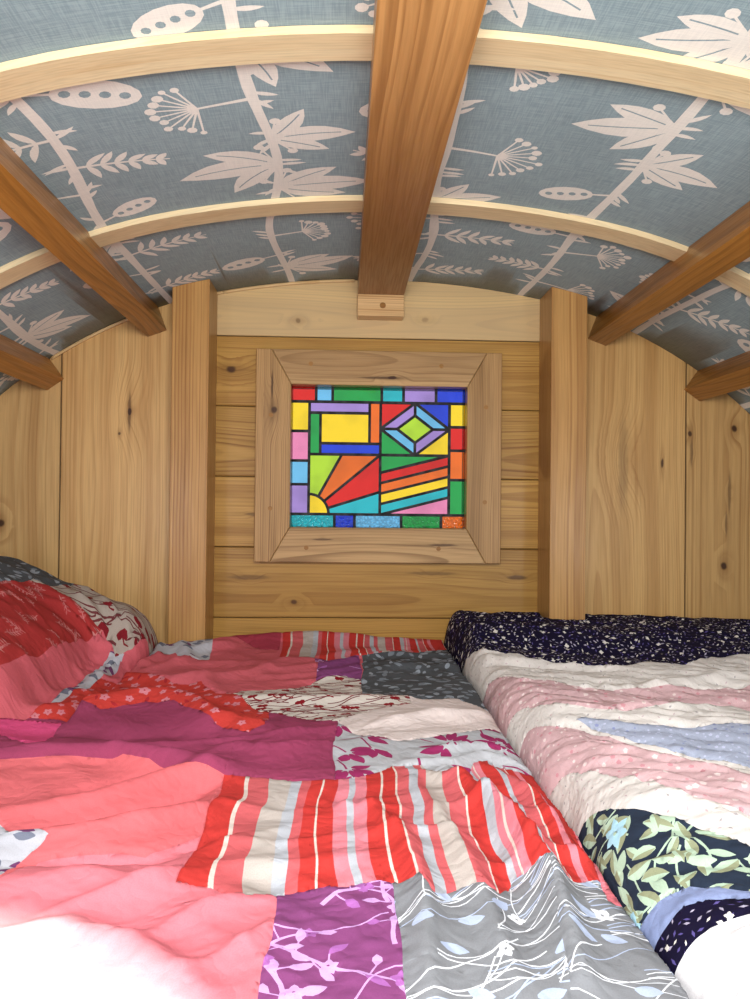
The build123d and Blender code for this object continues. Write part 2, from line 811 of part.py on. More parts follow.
def bedding():
    """Mattress, duvet, folded quilt and pillow."""
    side = BOW_IN - MATTRESS_PLAY
    back = WALL_IN - MATTRESS_PLAY
    mattress = block((-side, side), (BED_FRONT, back), (DECK_TOP, MATTRESS_TOP))
    mattress = mattress - wall_post_room(MATTRESS_PLAY)
    base = MATTRESS_TOP + FIT
    duvet_top = base + DUVET_THICK
    hang = BED_FRONT - FIT - DUVET_HANG
    pillow_right = PILLOW_WIDTH - side

    def cloth(x, points):
        """A section drawn in y and z, carried across from x[0] to x[1]."""
        face = Plane.YZ.offset(x[0]) * outline(points)
        return extrude(face, amount=x[1] - x[0], dir=(1, 0, 0))

    duvet = cloth(
        (-side, QUILT_LEFT - FIT),
        [
            (back, base),
            (back, duvet_top),
            (hang + DUVET_HANG, duvet_top),
            (hang, duvet_top - DUVET_HANG),
            (hang, duvet_top - DUVET_DROP),
            (BED_FRONT - FIT, duvet_top - DUVET_DROP),
            (BED_FRONT - FIT, base),
        ],
    )
    pillow_end = POST_FRONT - PILLOW_GAP
    pillow_front = pillow_end - PILLOW_LENGTH
    pillow_room = block(
        (-side - CUT, pillow_right + FIT),
        (pillow_front - FIT, back + CUT),
        (base - CUT, duvet_top + CUT),
    )
    duvet = duvet - pillow_room - wall_post_room(MATTRESS_PLAY)
    roll_top = base + QUILT_ROLL_HEIGHT
    roll_front = back - QUILT_ROLL_LENGTH
    quilt = cloth(
        (QUILT_LEFT, side),
        [
            (back, base),
            (back, roll_top),
            (roll_front, roll_top),
            (roll_front - QUILT_THICK, base + QUILT_THICK),
            (BED_FRONT + SOFT_ROUND, base + QUILT_THICK),
            (BED_FRONT, base + QUILT_THICK - SOFT_ROUND),
            (BED_FRONT, base),
        ],
    )
    quilt = quilt - wall_post_room(MATTRESS_PLAY)
    pillow_face = outline(
        [
            (-side, base),
            (pillow_right - SOFT_ROUND, base),
            (pillow_right, base + SOFT_ROUND),
            (pillow_right, base + PILLOW_TOE),
            (-side + PILLOW_WIDTH * 0.4, base + PILLOW_HEIGHT),
            (-side + SOFT_ROUND, base + PILLOW_HEIGHT),
            (-side, base + PILLOW_HEIGHT - SOFT_ROUND),
        ]
    )
    pillow = upright(pillow_face, pillow_front, pillow_end)
    return {
        "mattress": [mattress],
        "duvet": duvet.solids(),
        "quilt": quilt.solids(),
        "pillow": [pillow],
    }


def main():
    """Builds every piece and writes one file for each."""
    os.makedirs("parts", exist_ok=True)
    pieces = {
        **floor(),
        **sides(),
        **rear_wall(),
        **window_frame(),
        **window_outside(),
        **leaded_light(),
        **roof(),
        **bed(),
        **bedding(),
    }
    for name, shapes in pieces.items():
        solids = [solid for shape in shapes for solid in shape.solids()]
        export_step(Compound(children=solids), f"parts/{name}.step")
        print(name, len(solids))


main()
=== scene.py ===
"""Dresses the bed end of a bow-top wagon: pine boards and timbers, a leaded light, a printed
cloth lining under canvas, and a bed made up with a patchwork duvet, a quilt and a pillow.

Everything is in metres, apart from the tables of patches and folds, which are in millimetres.
X runs across the wagon, +Y towards the rear wall and +Z up.
"""

import logging
import math
import random
from dataclasses import dataclass, field
from enum import Enum

import bmesh
import bpy
from mathutils import Matrix, Vector, geometry, noise


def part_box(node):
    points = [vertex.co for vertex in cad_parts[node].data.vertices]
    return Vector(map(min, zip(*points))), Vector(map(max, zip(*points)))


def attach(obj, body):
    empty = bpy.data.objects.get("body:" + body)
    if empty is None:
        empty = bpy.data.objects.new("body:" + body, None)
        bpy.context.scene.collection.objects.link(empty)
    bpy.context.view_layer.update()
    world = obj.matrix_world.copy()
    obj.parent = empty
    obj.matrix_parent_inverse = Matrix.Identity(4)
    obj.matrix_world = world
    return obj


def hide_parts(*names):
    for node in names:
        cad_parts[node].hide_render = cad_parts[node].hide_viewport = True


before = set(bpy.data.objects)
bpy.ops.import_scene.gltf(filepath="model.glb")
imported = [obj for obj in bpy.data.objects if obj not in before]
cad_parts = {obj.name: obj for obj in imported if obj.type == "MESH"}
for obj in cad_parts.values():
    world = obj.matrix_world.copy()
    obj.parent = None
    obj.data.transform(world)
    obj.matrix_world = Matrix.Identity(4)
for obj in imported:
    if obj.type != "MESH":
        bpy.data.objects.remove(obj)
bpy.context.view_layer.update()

LOG = logging.getLogger("wagon")
BODY = "root"
Colour = tuple[float, float, float, float]
Point = tuple[float, float]
Socket = bpy.types.NodeSocket
Material = bpy.types.Material
Mesh = bmesh.types.BMesh
Piece = bpy.types.Object


def shade(code: str) -> Colour:
    """A shader colour from a six-figure screen colour.

    Args:
        code: Red, green and blue as hexadecimal pairs.

    Returns:
        The same colour in linear light, with full cover.
    """
    parts = [int(code[start : start + 2], 16) / 255 for start in (0, 2, 4)]
    linear = [p / 12.92 if p <= 0.04045 else ((p + 0.055) / 1.055) ** 2.4 for p in parts]
    return (*linear, 1.0)


def held(value: float, low: float = 0.0, high: float = 1.0) -> float:
    """A value kept between two others."""
    return min(max(value, low), high)


def smooth_step(value: float) -> float:
    """A smooth step from 0 to 1 as the value goes from 0 to 1."""
    share = held(value)
    return share * share * (3 - 2 * share)


def ripple(x: float, y: float, seed: float) -> float:
    """Soft noise about 0 at a point of a plane, and another for each seed."""
    return noise.noise(Vector((x, y, seed)))


class Axis(Enum):
    """The way that a timber's grain runs."""

    X = 0
    Y = 1
    Z = 2
    ARCH = 3


class Motif(Enum):
    """What is printed or woven on a cotton patch, by the name of the method that draws it."""

    PLAIN = "plain"
    VINE = "vine"
    LEAVES = "leaves"
    TWIGS = "twigs"
    BERRIES = "berries"
    BLOSSOM = "blossom"
    SPRAYS = "sprays"
    STREAMS = "streams"
    STRIPES = "stripes"
    DITSY = "ditsy"
    TICKS = "ticks"
    FLECKS = "flecks"
    GARDEN = "garden"


class Graph:
    """A material's node tree, with short calls for what the finishes share."""

    def __init__(self, name: str) -> None:
        """Starts an empty tree.

        Args:
            name: The material's name.
        """
        self.material = bpy.data.materials.new(name)
        self.material.use_nodes = True
        self.tree = self.material.node_tree
        self.tree.nodes.clear()
        self.output = self.tree.nodes.new("ShaderNodeOutputMaterial")

    def node(self, kind: str, feeds: dict | None = None, **settings: object) -> bpy.types.Node:
        """Adds a node.

        Args:
            kind: The part of its type's name after ShaderNode.
            feeds: Value or socket for each input, by name or number.
            **settings: The node's own properties.

        Returns:
            The new node.
        """
        made = self.tree.nodes.new("ShaderNode" + kind)
        for name, value in settings.items():
            setattr(made, name, value)
        for key, value in (feeds or {}).items():
            if isinstance(value, Socket):
                self.tree.links.new(value, made.inputs[key])
            else:
                made.inputs[key].default_value = value
        return made

    def math(self, operation: str, *values: object) -> Socket:
        """One arithmetic step on numbers or sockets."""
        return self.node("Math", dict(enumerate(values)), operation=operation).outputs[0]

    def reach(self, first: object, second: object) -> Socket:
        """The length of two numbers at right angles."""
        squares = (self.math("POWER", first, 2), self.math("POWER", second, 2))
        return self.math("SQRT", self.math("ADD", *squares))

    def total(self, *values: object) -> Socket:
        """The sum of several values."""
        result = values[0]
        for value in values[1:]:
            result = self.math("ADD", result, value)
        return result

    def coordinates(self, source: str = "Object") -> Socket:
        """The surface's place, by Object or UV."""
        return self.node("TexCoord").outputs[source]

    def separate(self, vector: Socket) -> list[Socket]:
        """The three parts of a vector."""
        return list(self.node("SeparateXYZ", {0: vector}).outputs)

    def combine(self, x: object, y: object, z: object = 0.0) -> Socket:
        """A vector from its parts."""
        return self.node("CombineXYZ", {0: x, 1: y, 2: z}).outputs[0]

    def noise(
        self, vector: object, scale: float, detail: float = 2.0, rough: float = 0.5
    ) -> Socket:
        """Soft noise from 0 to 1."""
        feeds = {"Vector": vector, "Scale": scale, "Detail": detail, "Roughness": rough}
        return self.node("TexNoise", feeds).outputs[0]

    def remap(
        self, value: object, low: float, high: float, start: float = 0.0, end: float = 1.0
    ) -> Socket:
        """A value's place between low and high as a smooth step from start to end."""
        feeds = {"Value": value, "From Min": low, "From Max": high, "To Min": start, "To Max": end}
        return self.node("MapRange", feeds, interpolation_type="SMOOTHSTEP").outputs[0]

    def mix(self, share: object, first: object, second: object) -> Socket:
        """Two colours mixed, with a share of the second over the first."""
        feeds = {0: share, 6: first, 7: second}
        return self.node("Mix", feeds, data_type="RGBA").outputs[2]

    def dark(self, colour: object, amount: object) -> Socket:
        """A colour darkened by a factor from 0 to 1."""
        return self.mix(amount, colour, (0.0, 0.0, 0.0, 1.0))

    def bump(self, height: object, depth: float, strength: float = 1.0) -> Socket:
        """A normal roughened by a height from 0 to 1 that stands for a depth in metres."""
        feeds = {"Height": height, "Distance": depth, "Strength": strength}
        return self.node("Bump", feeds).outputs[0]

    def surface(self, **inputs: object) -> Material:
        """Ends the tree with the surface shader.

        Args:
            **inputs: Its inputs, with underscores for the spaces in their names.

        Returns:
            The finished material.
        """
        feeds = {name.replace("_", " "): value for name, value in inputs.items()}
        made = self.node("BsdfPrincipled", feeds)
        self.tree.links.new(made.outputs[0], self.output.inputs[0])
        return self.material


class Finish:
    """A surface finish, made into a material the first time that it is asked for."""

    made: dict = {}

    def material(self) -> Material:
        """The finish's one material."""
        if self not in Finish.made:
            Finish.made[self] = self.build()
        return Finish.made[self]

    def build(self) -> Material:
        """Builds the material."""
        raise NotImplementedError


@dataclass(frozen=True)
class Knot:
    """A knot, by its place along and across the grain and its half width."""

    along: float
    across: float
    size: float
    stretch: float = 1.3
    dark: float = 0.8
    eye: float = 0.0


@dataclass(frozen=True)
class Pine(Finish):
    """Oiled pine: growth rings cut by the saw, fibre, tonal bands and knots, board by board.

    The heart of each board's log lies behind its face, so the rings show as lines along the
    grain that open into long ovals where the cut comes nearest to the heart.
    """

    name: str
    grain: Axis
    across: Axis
    start: float = 0.0
    cover: float = 0.0
    pale: str = "cba467"
    ring: str = "94622f"
    knot: str = "3a1d0d"
    ring_width: float = 0.0048
    contrast: float = 0.8
    spread: float = 0.16
    band: float = 0.3
    knots: tuple[Knot, ...] = ()
    knot_rate: float = 1.0
    rough: float = 0.36
    seed: float = 0.0
    # Width of the painted shade along each board's edges, standing in for the shade in the V-groove at
    # the joint; 0 for none.
    joint_shade: float = 0.0
    paler_from: float = 0.0
    # far: a darker colour that the pale tone fades to along the grain between two places, painted shade
    # for light that falls off towards the far end
    far: tuple[str, float, float] | None = None

    def frame_of(self, g: Graph) -> list[Socket]:
        """The place along the grain, across the face and through the timber."""
        parts = g.separate(g.coordinates())
        if self.grain is Axis.ARCH:
            rise = g.math("SUBTRACT", parts[2], ARCH_HEART)
            turn = g.math("MULTIPLY", g.math("ARCTAN2", parts[0], rise), ARCH_REACH)
            out = g.reach(parts[0], rise)
            return [turn, parts[1], out]
        rest = 3 - self.grain.value - self.across.value
        return [parts[self.grain.value], parts[self.across.value], parts[rest]]

    def knot_parts(self, g: Graph, near: object, wide: object, knot: Knot) -> list:
        """Core, halo and bulge of a knot.

        Args:
            g: The tree.
            near: Distance from its heart along the grain, in metres.
            wide: Distance from its heart across the grain, in metres.
            knot: The knot.

        Returns:
            The masks of core and halo, and how far the rings bend round it, in metres.
        """
        along = g.math("POWER", g.math("DIVIDE", near, knot.size * knot.stretch), 2)
        across = g.math("POWER", g.math("DIVIDE", wide, knot.size), 2)
        core = g.remap(g.math("SQRT", g.math("ADD", along, across)), 1.15, 0.5, 0.0, knot.dark)
        tail = g.math("ADD", g.math("MULTIPLY", along, 0.12), g.math("MULTIPLY", across, 0.5))
        tail = g.math("SQRT", tail)
        halo = g.remap(tail, 1.7, 0.3, 0.0, 0.42 * knot.dark)
        eye = knot.eye or knot.size * 1.6
        ahead = g.math("POWER", g.math("DIVIDE", near, eye * 2.6), 2)
        beside = g.math("POWER", g.math("DIVIDE", wide, eye * 1.25), 2)
        pushed = g.math("SQRT", g.math("ADD", ahead, beside))
        return [core, halo, g.remap(pushed, 2.0, 0.0, 0.0, eye)]

    def chance_knots(self, g: Graph, along: object, local: object, index: object) -> list:
        """The same three parts for knots strewn by chance."""
        cell = g.combine(
            g.math("MULTIPLY", along, 1.9 * self.knot_rate),
            g.math("MULTIPLY_ADD", index, 3.3, g.math("MULTIPLY", local, 4.6 * self.knot_rate)),
        )
        scatter = g.node("TexVoronoi", {"Vector": cell, "Scale": 1.0}, voronoi_dimensions="2D")
        odds = g.separate(scatter.outputs["Color"])[0]
        radius = g.math("MAXIMUM", g.math("MULTIPLY_ADD", odds, 0.12, -0.085), 0.0004)
        gap = g.math("DIVIDE", scatter.outputs["Distance"], radius)
        return [
            g.remap(gap, 1.1, 0.5, 0.0, 0.75),
            g.remap(gap, 2.1, 0.6, 0.0, 0.4),
            g.math("MULTIPLY", g.remap(gap, 5.0, 0.0), g.math("MULTIPLY", radius, 0.3)),
        ]

    def build(self) -> Material:
        """Builds the material."""
        g = Graph(self.name)
        along, face, through = self.frame_of(g)
        cover = self.cover or 0.3
        place = g.math("DIVIDE", g.math("SUBTRACT", face, self.start), cover)
        index = g.math("FLOOR", place) if self.cover else g.math("MULTIPLY", place, 0.0)
        local = g.math("MULTIPLY", g.math("SUBTRACT", place, index), cover)
        chance = g.node("TexWhiteNoise", {"W": g.math("ADD", index, self.seed)}, noise_dimensions="1D")
        first, second, third = g.separate(chance.outputs["Color"])
        moved = g.math("MULTIPLY_ADD", first, 9.0, along)

        bumps = [self.chance_knots(g, moved, local, index)] if self.knot_rate else [[0.0] * 3]
        stir = g.noise(g.combine(along, face, through), 55.0, 2.0)
        for knot in self.knots:
            near = g.math("SUBTRACT", along, knot.along)
            wide = g.math("SUBTRACT", face, knot.across)
            wide = g.math("MULTIPLY_ADD", stir, 0.7 * knot.size, g.math("ADD", wide, -0.35 * knot.size))
            bumps.append(self.knot_parts(g, near, wide, knot))
        core = g.math("MINIMUM", g.total(*[part[0] for part in bumps]), 1.0)
        halo = g.math("MINIMUM", g.total(*[part[1] for part in bumps]), 1.0)
        bulge = g.total(*[part[2] for part in bumps])

        sway = g.noise(g.combine(moved, g.math("MULTIPLY", index, 3.7), self.seed), 1.3, 1.0)
        slow = g.noise(g.combine(g.math("MULTIPLY", moved, 0.5), face, through), 5.0, 1.0)
        side = g.math("SUBTRACT", g.math("DIVIDE", local, cover), g.remap(second, 0, 1, 0.2, 0.8))
        side = g.math("MULTIPLY_ADD", side, cover, g.math("MULTIPLY_ADD", sway, 0.03, -0.015))
        depth = g.total(g.math("MULTIPLY", sway, 0.05), g.math("MULTIPLY", third, 0.03), 0.012)
        heart = g.reach(side, depth)
        rings = g.total(heart, bulge, g.math("MULTIPLY", slow, 0.008))
        count = g.math("DIVIDE", rings, self.ring_width)
        uneven = g.noise(g.combine(rings, self.seed, index), 70.0, 1.0)
        count = g.math("MULTIPLY_ADD", uneven, 2.2, count)
        turn = g.math("FRACT", count)
        each = g.node("TexWhiteNoise", {"W": g.math("FLOOR", count)}, noise_dimensions="1D")
        strength = g.remap(each.outputs["Value"], 0.0, 1.0, 0.25, 1.0)
        late = g.math("MULTIPLY", g.remap(turn, 0.35, 0.9), g.remap(turn, 1.0, 0.93))
        late = g.math("MULTIPLY", late, strength)
        fibre = g.noise(
            g.combine(g.math("MULTIPLY", moved, 0.03), face, through), 380.0, 1.0, 0.6
        )
        streak = g.noise(g.combine(g.math("MULTIPLY", moved, 0.05), face, through), 70.0, 1.0)
        drift = g.noise(g.combine(g.math("MULTIPLY", moved, 0.25), face, through), 7.0, 1.0)
        zones = g.noise(g.combine(rings, self.seed, index), 26.0, 1.0)
        pale, ring = shade(self.pale), shade(self.ring)
        # Painted shade: the pale tone fades to the far colour along the grain, standing in for light
        # that falls off away from the lamps.
        if self.far:
            pale = g.mix(g.remap(along, self.far[1], self.far[2]), pale, shade(self.far[0]))
        tone = g.remap(drift, 0.25, 0.75, self.contrast * 0.35, self.contrast)
        share = g.math("MULTIPLY", late, tone)
        colour = g.mix(g.remap(zones, 0.42, 0.68, 0.0, self.band), pale, ring)
        colour = g.mix(share, colour, ring)
        colour = g.mix(g.remap(streak, 0.5, 0.78, 0.0, 0.3), colour, ring)
        colour = g.dark(colour, g.remap(fibre, 0.35, 0.75, 0.0, 0.13))
        colour = g.dark(colour, g.math("MULTIPLY", third, self.spread))
        if self.paler_from:
            top = g.remap(face, self.paler_from, self.paler_from + 0.001, 0.0, 0.42)
            colour = g.mix(top, colour, shade("f2dcae"))
        colour = g.mix(halo, colour, g.dark(ring, 0.35))
        colour = g.mix(core, colour, shade(self.knot))
        # Painted shade: each board darkens towards its edges, for the shade that falls in the V-grooves
        # between boards.
        if self.joint_shade:
            lip = g.math("MINIMUM", local, g.math("SUBTRACT", cover, local))
            colour = g.dark(colour, g.remap(lip, self.joint_shade, self.joint_shade * 0.4, 0.0, 0.62))
        return g.surface(
            Base_Color=colour,
            Roughness=g.remap(fibre, 0.2, 0.8, self.rough - 0.05, self.rough + 0.12),
            Normal=g.bump(fibre, 0.0003, 0.4),
            Coat_Weight=0.22,
            Coat_Roughness=0.25,
        )


@dataclass(frozen=True)
class Paint(Finish):
    """Brushed gloss paint over timber, with the grain telling a little."""

    name: str
    colour: str
    worn: str
    rough: float = 0.3

    def build(self) -> Material:
        """Builds the material."""
        g = Graph(self.name)
        place = g.coordinates()
        brush = g.noise(g.node("Mapping", {0: place, 3: (3.0, 3.0, 40.0)}).outputs[0], 6.0, 3.0)
        cloud = g.noise(place, 3.0, 3.0)
        dust = g.noise(place, 90.0, 2.0)
        colour = g.mix(g.remap(cloud, 0.35, 0.75, 0.0, 0.4), shade(self.colour), shade(self.worn))
        colour = g.dark(colour, g.remap(dust, 0.5, 0.8, 0.0, 0.2))
        return g.surface(
            Base_Color=colour,
            Roughness=g.remap(cloud, 0.3, 0.7, self.rough, self.rough + 0.2),
            Normal=g.bump(brush, 0.0004, 0.5),
            Coat_Weight=0.3,
            Coat_Roughness=0.2,
        )


@dataclass(frozen=True)
class Glass(Finish):
    """Coloured sheet glass, rolled with a pattern in the bottom row."""

    name: str
    colour: str
    patterned_below: float = 1.3535

    def build(self) -> Material:
        """Builds the material."""
        g = Graph(self.name)
        place = g.coordinates()
        wave = g.noise(place, 38.0, 2.0)
        feeds = {"Vector": place, "Scale": 170.0, "Smoothness": 0.6}
        cells = g.node("TexVoronoi", feeds, feature="SMOOTH_F1")
        low = g.remap(g.separate(place)[2], self.patterned_below, self.patterned_below - 0.001)
        hammered = g.math("MULTIPLY", cells.outputs["Distance"], low)
        height = g.math("MULTIPLY_ADD", wave, 0.25, hammered)
        seed = g.noise(place, 14.0, 2.0)
        colour = g.dark(shade(self.colour), g.remap(seed, 0.4, 0.75, 0.0, 0.25))
        colour = g.dark(colour, g.math("MULTIPLY", g.remap(hammered, 0.2, 0.6), 0.35))
        return g.surface(
            Base_Color=colour,
            Roughness=0.06,
            IOR=1.5,
            Transmission_Weight=1.0,
            Normal=g.bump(height, 0.0016, 0.8),
        )


@dataclass(frozen=True)
class Lead(Finish):
    """Dull lead or solder."""

    name: str
    colour: str
    rough: float = 0.5

    def build(self) -> Material:
        """Builds the material."""
        g = Graph(self.name)
        place = g.coordinates()
        grime = g.noise(place, 60.0, 3.0)
        dents = g.noise(place, 260.0, 2.0)
        colour = g.dark(shade(self.colour), g.remap(grime, 0.3, 0.7, 0.0, 0.5))
        return g.surface(
            Base_Color=colour,
            Metallic=0.7,
            Roughness=g.remap(grime, 0.3, 0.7, self.rough, self.rough + 0.2),
            Normal=g.bump(dents, 0.0003, 0.6),
        )


@dataclass(frozen=True)
class Weave(Finish):
    """Plain woven cloth with uneven threads, on the cloth's own UV in metres."""

    name: str
    colour: str
    thread: str
    pitch: float = 0.0011
    slub: float = 0.5
    rough: float = 0.85
    sheen: float = 0.15

    def build(self) -> Material:
        """Builds the material."""
        g = Graph(self.name)
        across, along, _ = g.separate(g.coordinates("UV"))
        rate = 1 / self.pitch
        runs = []
        for x_rate, y_rate in ((rate, 28.0), (28.0, rate)):
            place = g.combine(g.math("MULTIPLY", across, x_rate), g.math("MULTIPLY", along, y_rate))
            runs.append(g.noise(place, 1.0, 1.0))
        threads = g.math("MULTIPLY", g.total(*runs), 0.5)
        cloud = g.noise(g.combine(across, along), 6.0, 1.0)
        share = g.remap(threads, 0.36, 0.64, 0.0, self.slub)
        colour = g.mix(share, shade(self.colour), shade(self.thread))
        colour = g.dark(colour, g.remap(cloud, 0.4, 0.8, 0.0, 0.1))
        return g.surface(
            Base_Color=colour,
            Roughness=self.rough,
            Normal=g.bump(threads, 0.0005, 0.6),
            Sheen_Weight=self.sheen,
            Sheen_Roughness=0.5,
        )


@dataclass(frozen=True)
class Cotton(Finish):
    """Woven cotton of one colour, a little crumpled, on the cloth's own UV in metres.

    What is printed on it is cut into the cloth's faces, each ink as a colour of its own.
    """

    name: str
    colour: str
    motif: Motif = Motif.PLAIN
    inks: tuple[str, ...] = ()
    scale: float = 1.0
    # A soft painted highlight: the cloth whitens towards this colour round a point, between an outer and
    # an inner radius, standing in for glare near the camera.
    painted_glare: tuple[float, float, float, float, str] | None = None

    def ink(self, number: int) -> "Cotton":
        """The same cloth under one of its inks, or bare for 0."""
        return Cotton(f"{self.name}_{number}", self.inks[number - 1]) if number else self

    def build(self) -> Material:
        """Builds the material."""
        g = Graph(self.name)
        x, y, _ = g.separate(g.coordinates("UV"))
        flat = g.combine(x, y)
        stir = g.noise(flat, 7.0, 1.0)
        threads = g.noise(flat, 900.0, 0.0)
        colour = shade(self.colour)
        # Painted highlight: mixes the cloth towards a near-white round a point, as glare from the light
        # near the camera.
        if self.painted_glare:
            middle_x, middle_y, inner, outer, pale = self.painted_glare
            off_x, off_y = g.math("SUBTRACT", x, middle_x), g.math("SUBTRACT", y, middle_y)
            off = g.reach(off_x, off_y)
            off = g.math("MULTIPLY_ADD", stir, 0.03, off)
            colour = g.mix(g.remap(off, outer, inner), colour, shade(pale))
        colour = g.dark(colour, g.remap(stir, 0.35, 0.7, 0.0, 0.08))
        colour = g.dark(colour, g.remap(threads, 0.35, 0.75, 0.0, 0.08))
        pull = g.combine(g.math("MULTIPLY_ADD", stir, 0.09, x), g.math("MULTIPLY_ADD", stir, -0.07, y))
        creases = g.noise(pull, 34.0, 2.0, 0.6)
        crumple = g.math("ABSOLUTE", g.math("MULTIPLY_ADD", creases, 2.0, -1.0))
        return g.surface(
            Base_Color=colour,
            Roughness=0.9,
            Specular_IOR_Level=0.2,
            Normal=g.bump(crumple, 0.0045, 0.5),
        )


ARCH_HEART, ARCH_REACH = 0.75, 1.1
PLANK = 0.154
WALL_TOP_JOINT = 1.742124
SEAM = 0.394


def wall_knots(*rows: tuple[float, ...]) -> tuple[Knot, ...]:
    """Knots from rows of their fields."""
    return tuple(Knot(*row) for row in rows)


class Wood:
    """The pine of each part of the wagon."""

    centre = Pine(
        "pine_wall_centre", Axis.X, Axis.Z, WALL_TOP_JOINT - 12 * PLANK, PLANK,
        pale="bb914c", ring="7c4c1c", band=0.5, spread=0.14, knot_rate=0.0, joint_shade=0.0016,
        paler_from=WALL_TOP_JOINT,
        knots=wall_knots(
            (-0.325, 1.668, 0.009, 1.3, 0.9, 0.02), (-0.27, 1.352, 0.004, 6.0, 0.5),
            (-0.28, 1.214, 0.0055, 9.0, 0.5), (-0.182, 1.16, 0.006, 1.3),
            (0.31, 1.217, 0.006, 4.0, 0.7), (0.12, 1.225, 0.005, 12.0, 0.45),
            (-0.18, 1.778, 0.006, 1.0, 0.5), (0.1, 1.785, 0.006, 1.4, 0.3),
        ),
    )
    right = Pine(
        "pine_wall_right", Axis.Z, Axis.X, SEAM - 0.296 * 3, 0.296, seed=4.0, pale="d2a86c",
        ring="95612c", knot_rate=0.0, contrast=0.62, band=0.38, ring_width=0.0066, joint_shade=0.0024,
        knots=wall_knots(
            (1.475, 0.547, 0.013, 9.0, 0.3, 0.03), (1.475, 0.636, 0.0035, 3.5, 0.9),
            (1.542, 0.699, 0.0055, 1.3, 0.9), (1.5, 0.703, 0.004, 9.0, 0.5),
            (1.555, 0.8, 0.0075, 1.2, 0.95), (1.41, 0.79, 0.004, 14.0, 0.5),
            (1.246, 0.778, 0.0075, 1.3, 0.95), (1.34, 0.783, 0.0035, 9.0, 0.5),
        ),
    )
    left = Pine(
        "pine_wall_left", Axis.Z, Axis.X, -SEAM - 0.296 * 4, 0.296, seed=9.5, pale="d9b075",
        ring="9a6530", knot_rate=0.0, contrast=0.58, band=0.4, ring_width=0.0066, joint_shade=0.0024,
        knots=wall_knots(
            (1.572, -0.543, 0.004, 12.0, 0.62, 0.024), (1.572, -0.543, 0.005, 1.6, 0.75),
            (1.524, -0.564, 0.0035, 1.1), (1.327, -0.814, 0.0085, 1.1, 0.95),
        ),
    )
    sides = Pine("pine_sides", Axis.Z, Axis.Y, -0.67, 0.1438, seed=2.0, pale="d2ac76", joint_shade=0.0018)
    posts = Pine(
        "pine_posts", Axis.Z, Axis.X, pale="c4965a", ring="875426", seed=5.0, knot_rate=0.3,
        ring_width=0.007, band=0.4, contrast=0.95,
    )
    frame_sides = Pine(
        "pine_frame_sides", Axis.Z, Axis.X, -0.5, 0.25, pale="c39a66", ring="6e4a24", band=0.4,
        contrast=0.95, ring_width=0.004, seed=1.0, knot_rate=0.0,
        knots=wall_knots((1.577, -0.227, 0.007, 1.2, 0.9, 0.016), (1.63, -0.232, 0.0025, 14.0, 0.8)),
    )
    frame_levels = Pine(
        "pine_frame_levels", Axis.X, Axis.Z, 1.1, 0.25, pale="caa472", ring="74502a", band=0.4,
        contrast=0.95, ring_width=0.004, seed=3.0, knot_rate=0.0,
        knots=wall_knots(
            (0.027, 1.651, 0.0045, 2.2, 0.9, 0.01), (0.0, 1.65, 0.003, 17.0, 0.7),
            (-0.12, 1.299, 0.0025, 10.0, 0.7), (0.14, 1.289, 0.003, 12.0, 0.75),
        ),
    )
    ridge = Pine(
        "pine_ridge", Axis.Y, Axis.X, -0.15, 0.3, pale="cf9a5f", ring="7d4c20", seed=6.5,
        ring_width=0.011, contrast=0.55, rough=0.34, knot_rate=0.0, band=0.3,
        # The far end is darkened as painted shade, where less light reaches the ridge.
        far=("8c5a2a", -0.45, 0.3),
    )
    purlins = Pine(
        "pine_purlins", Axis.Y, Axis.X, -2.0, 0.2, pale="b17630", ring="683f15", seed=7.0, knot_rate=0.5,
    )
    bows = Pine(
        "pine_bows", Axis.ARCH, Axis.Y, pale="f4dfb4", ring="d5ad74", seed=8.0, contrast=0.5,
        knot_rate=0.3, band=0.2,
    )
    rails = Pine("pine_rails", Axis.Y, Axis.X, pale="c79857", ring="91622f", seed=10.0)
    beams = Pine("pine_beams", Axis.X, Axis.Y, -2.0, 0.3, pale="c99d62", ring="976838", seed=11.0)
    cleat = Pine("pine_cleat", Axis.X, Axis.Z, pale="e2bc88", ring="a8763e", seed=14.0, knot_rate=0.1)
    slats = Pine("pine_slats", Axis.Y, Axis.X, -0.92, 0.1048, pale="d6b07c", ring="a87d4b", seed=12.0)
    floor = Pine("pine_floor", Axis.Y, Axis.X, -0.9037, 0.1501, pale="b58b5f", ring="86603a", seed=13.0)


PURLIN_NODES = ("purlin_upper_right", "purlin_upper_left", "purlin_lower_right", "purlin_lower_left")
GREEN_PAINT = Paint("green_gloss", "1f4a2a", "35623a")
RED_PAINT = Paint("red_oxide", "6e2418", "83392a", 0.45)
GLASS_COLOURS = {
    "red": "e01a14", "sky": "6fc0ee", "green": "16a34a", "turquoise": "1fb8c4",
    "violet": "a98bd6", "blue": "1840d8", "orange": "f2701a", "pink": "f08ab8",
    "yellow": "ffd91f", "lime": "b6e032",
}


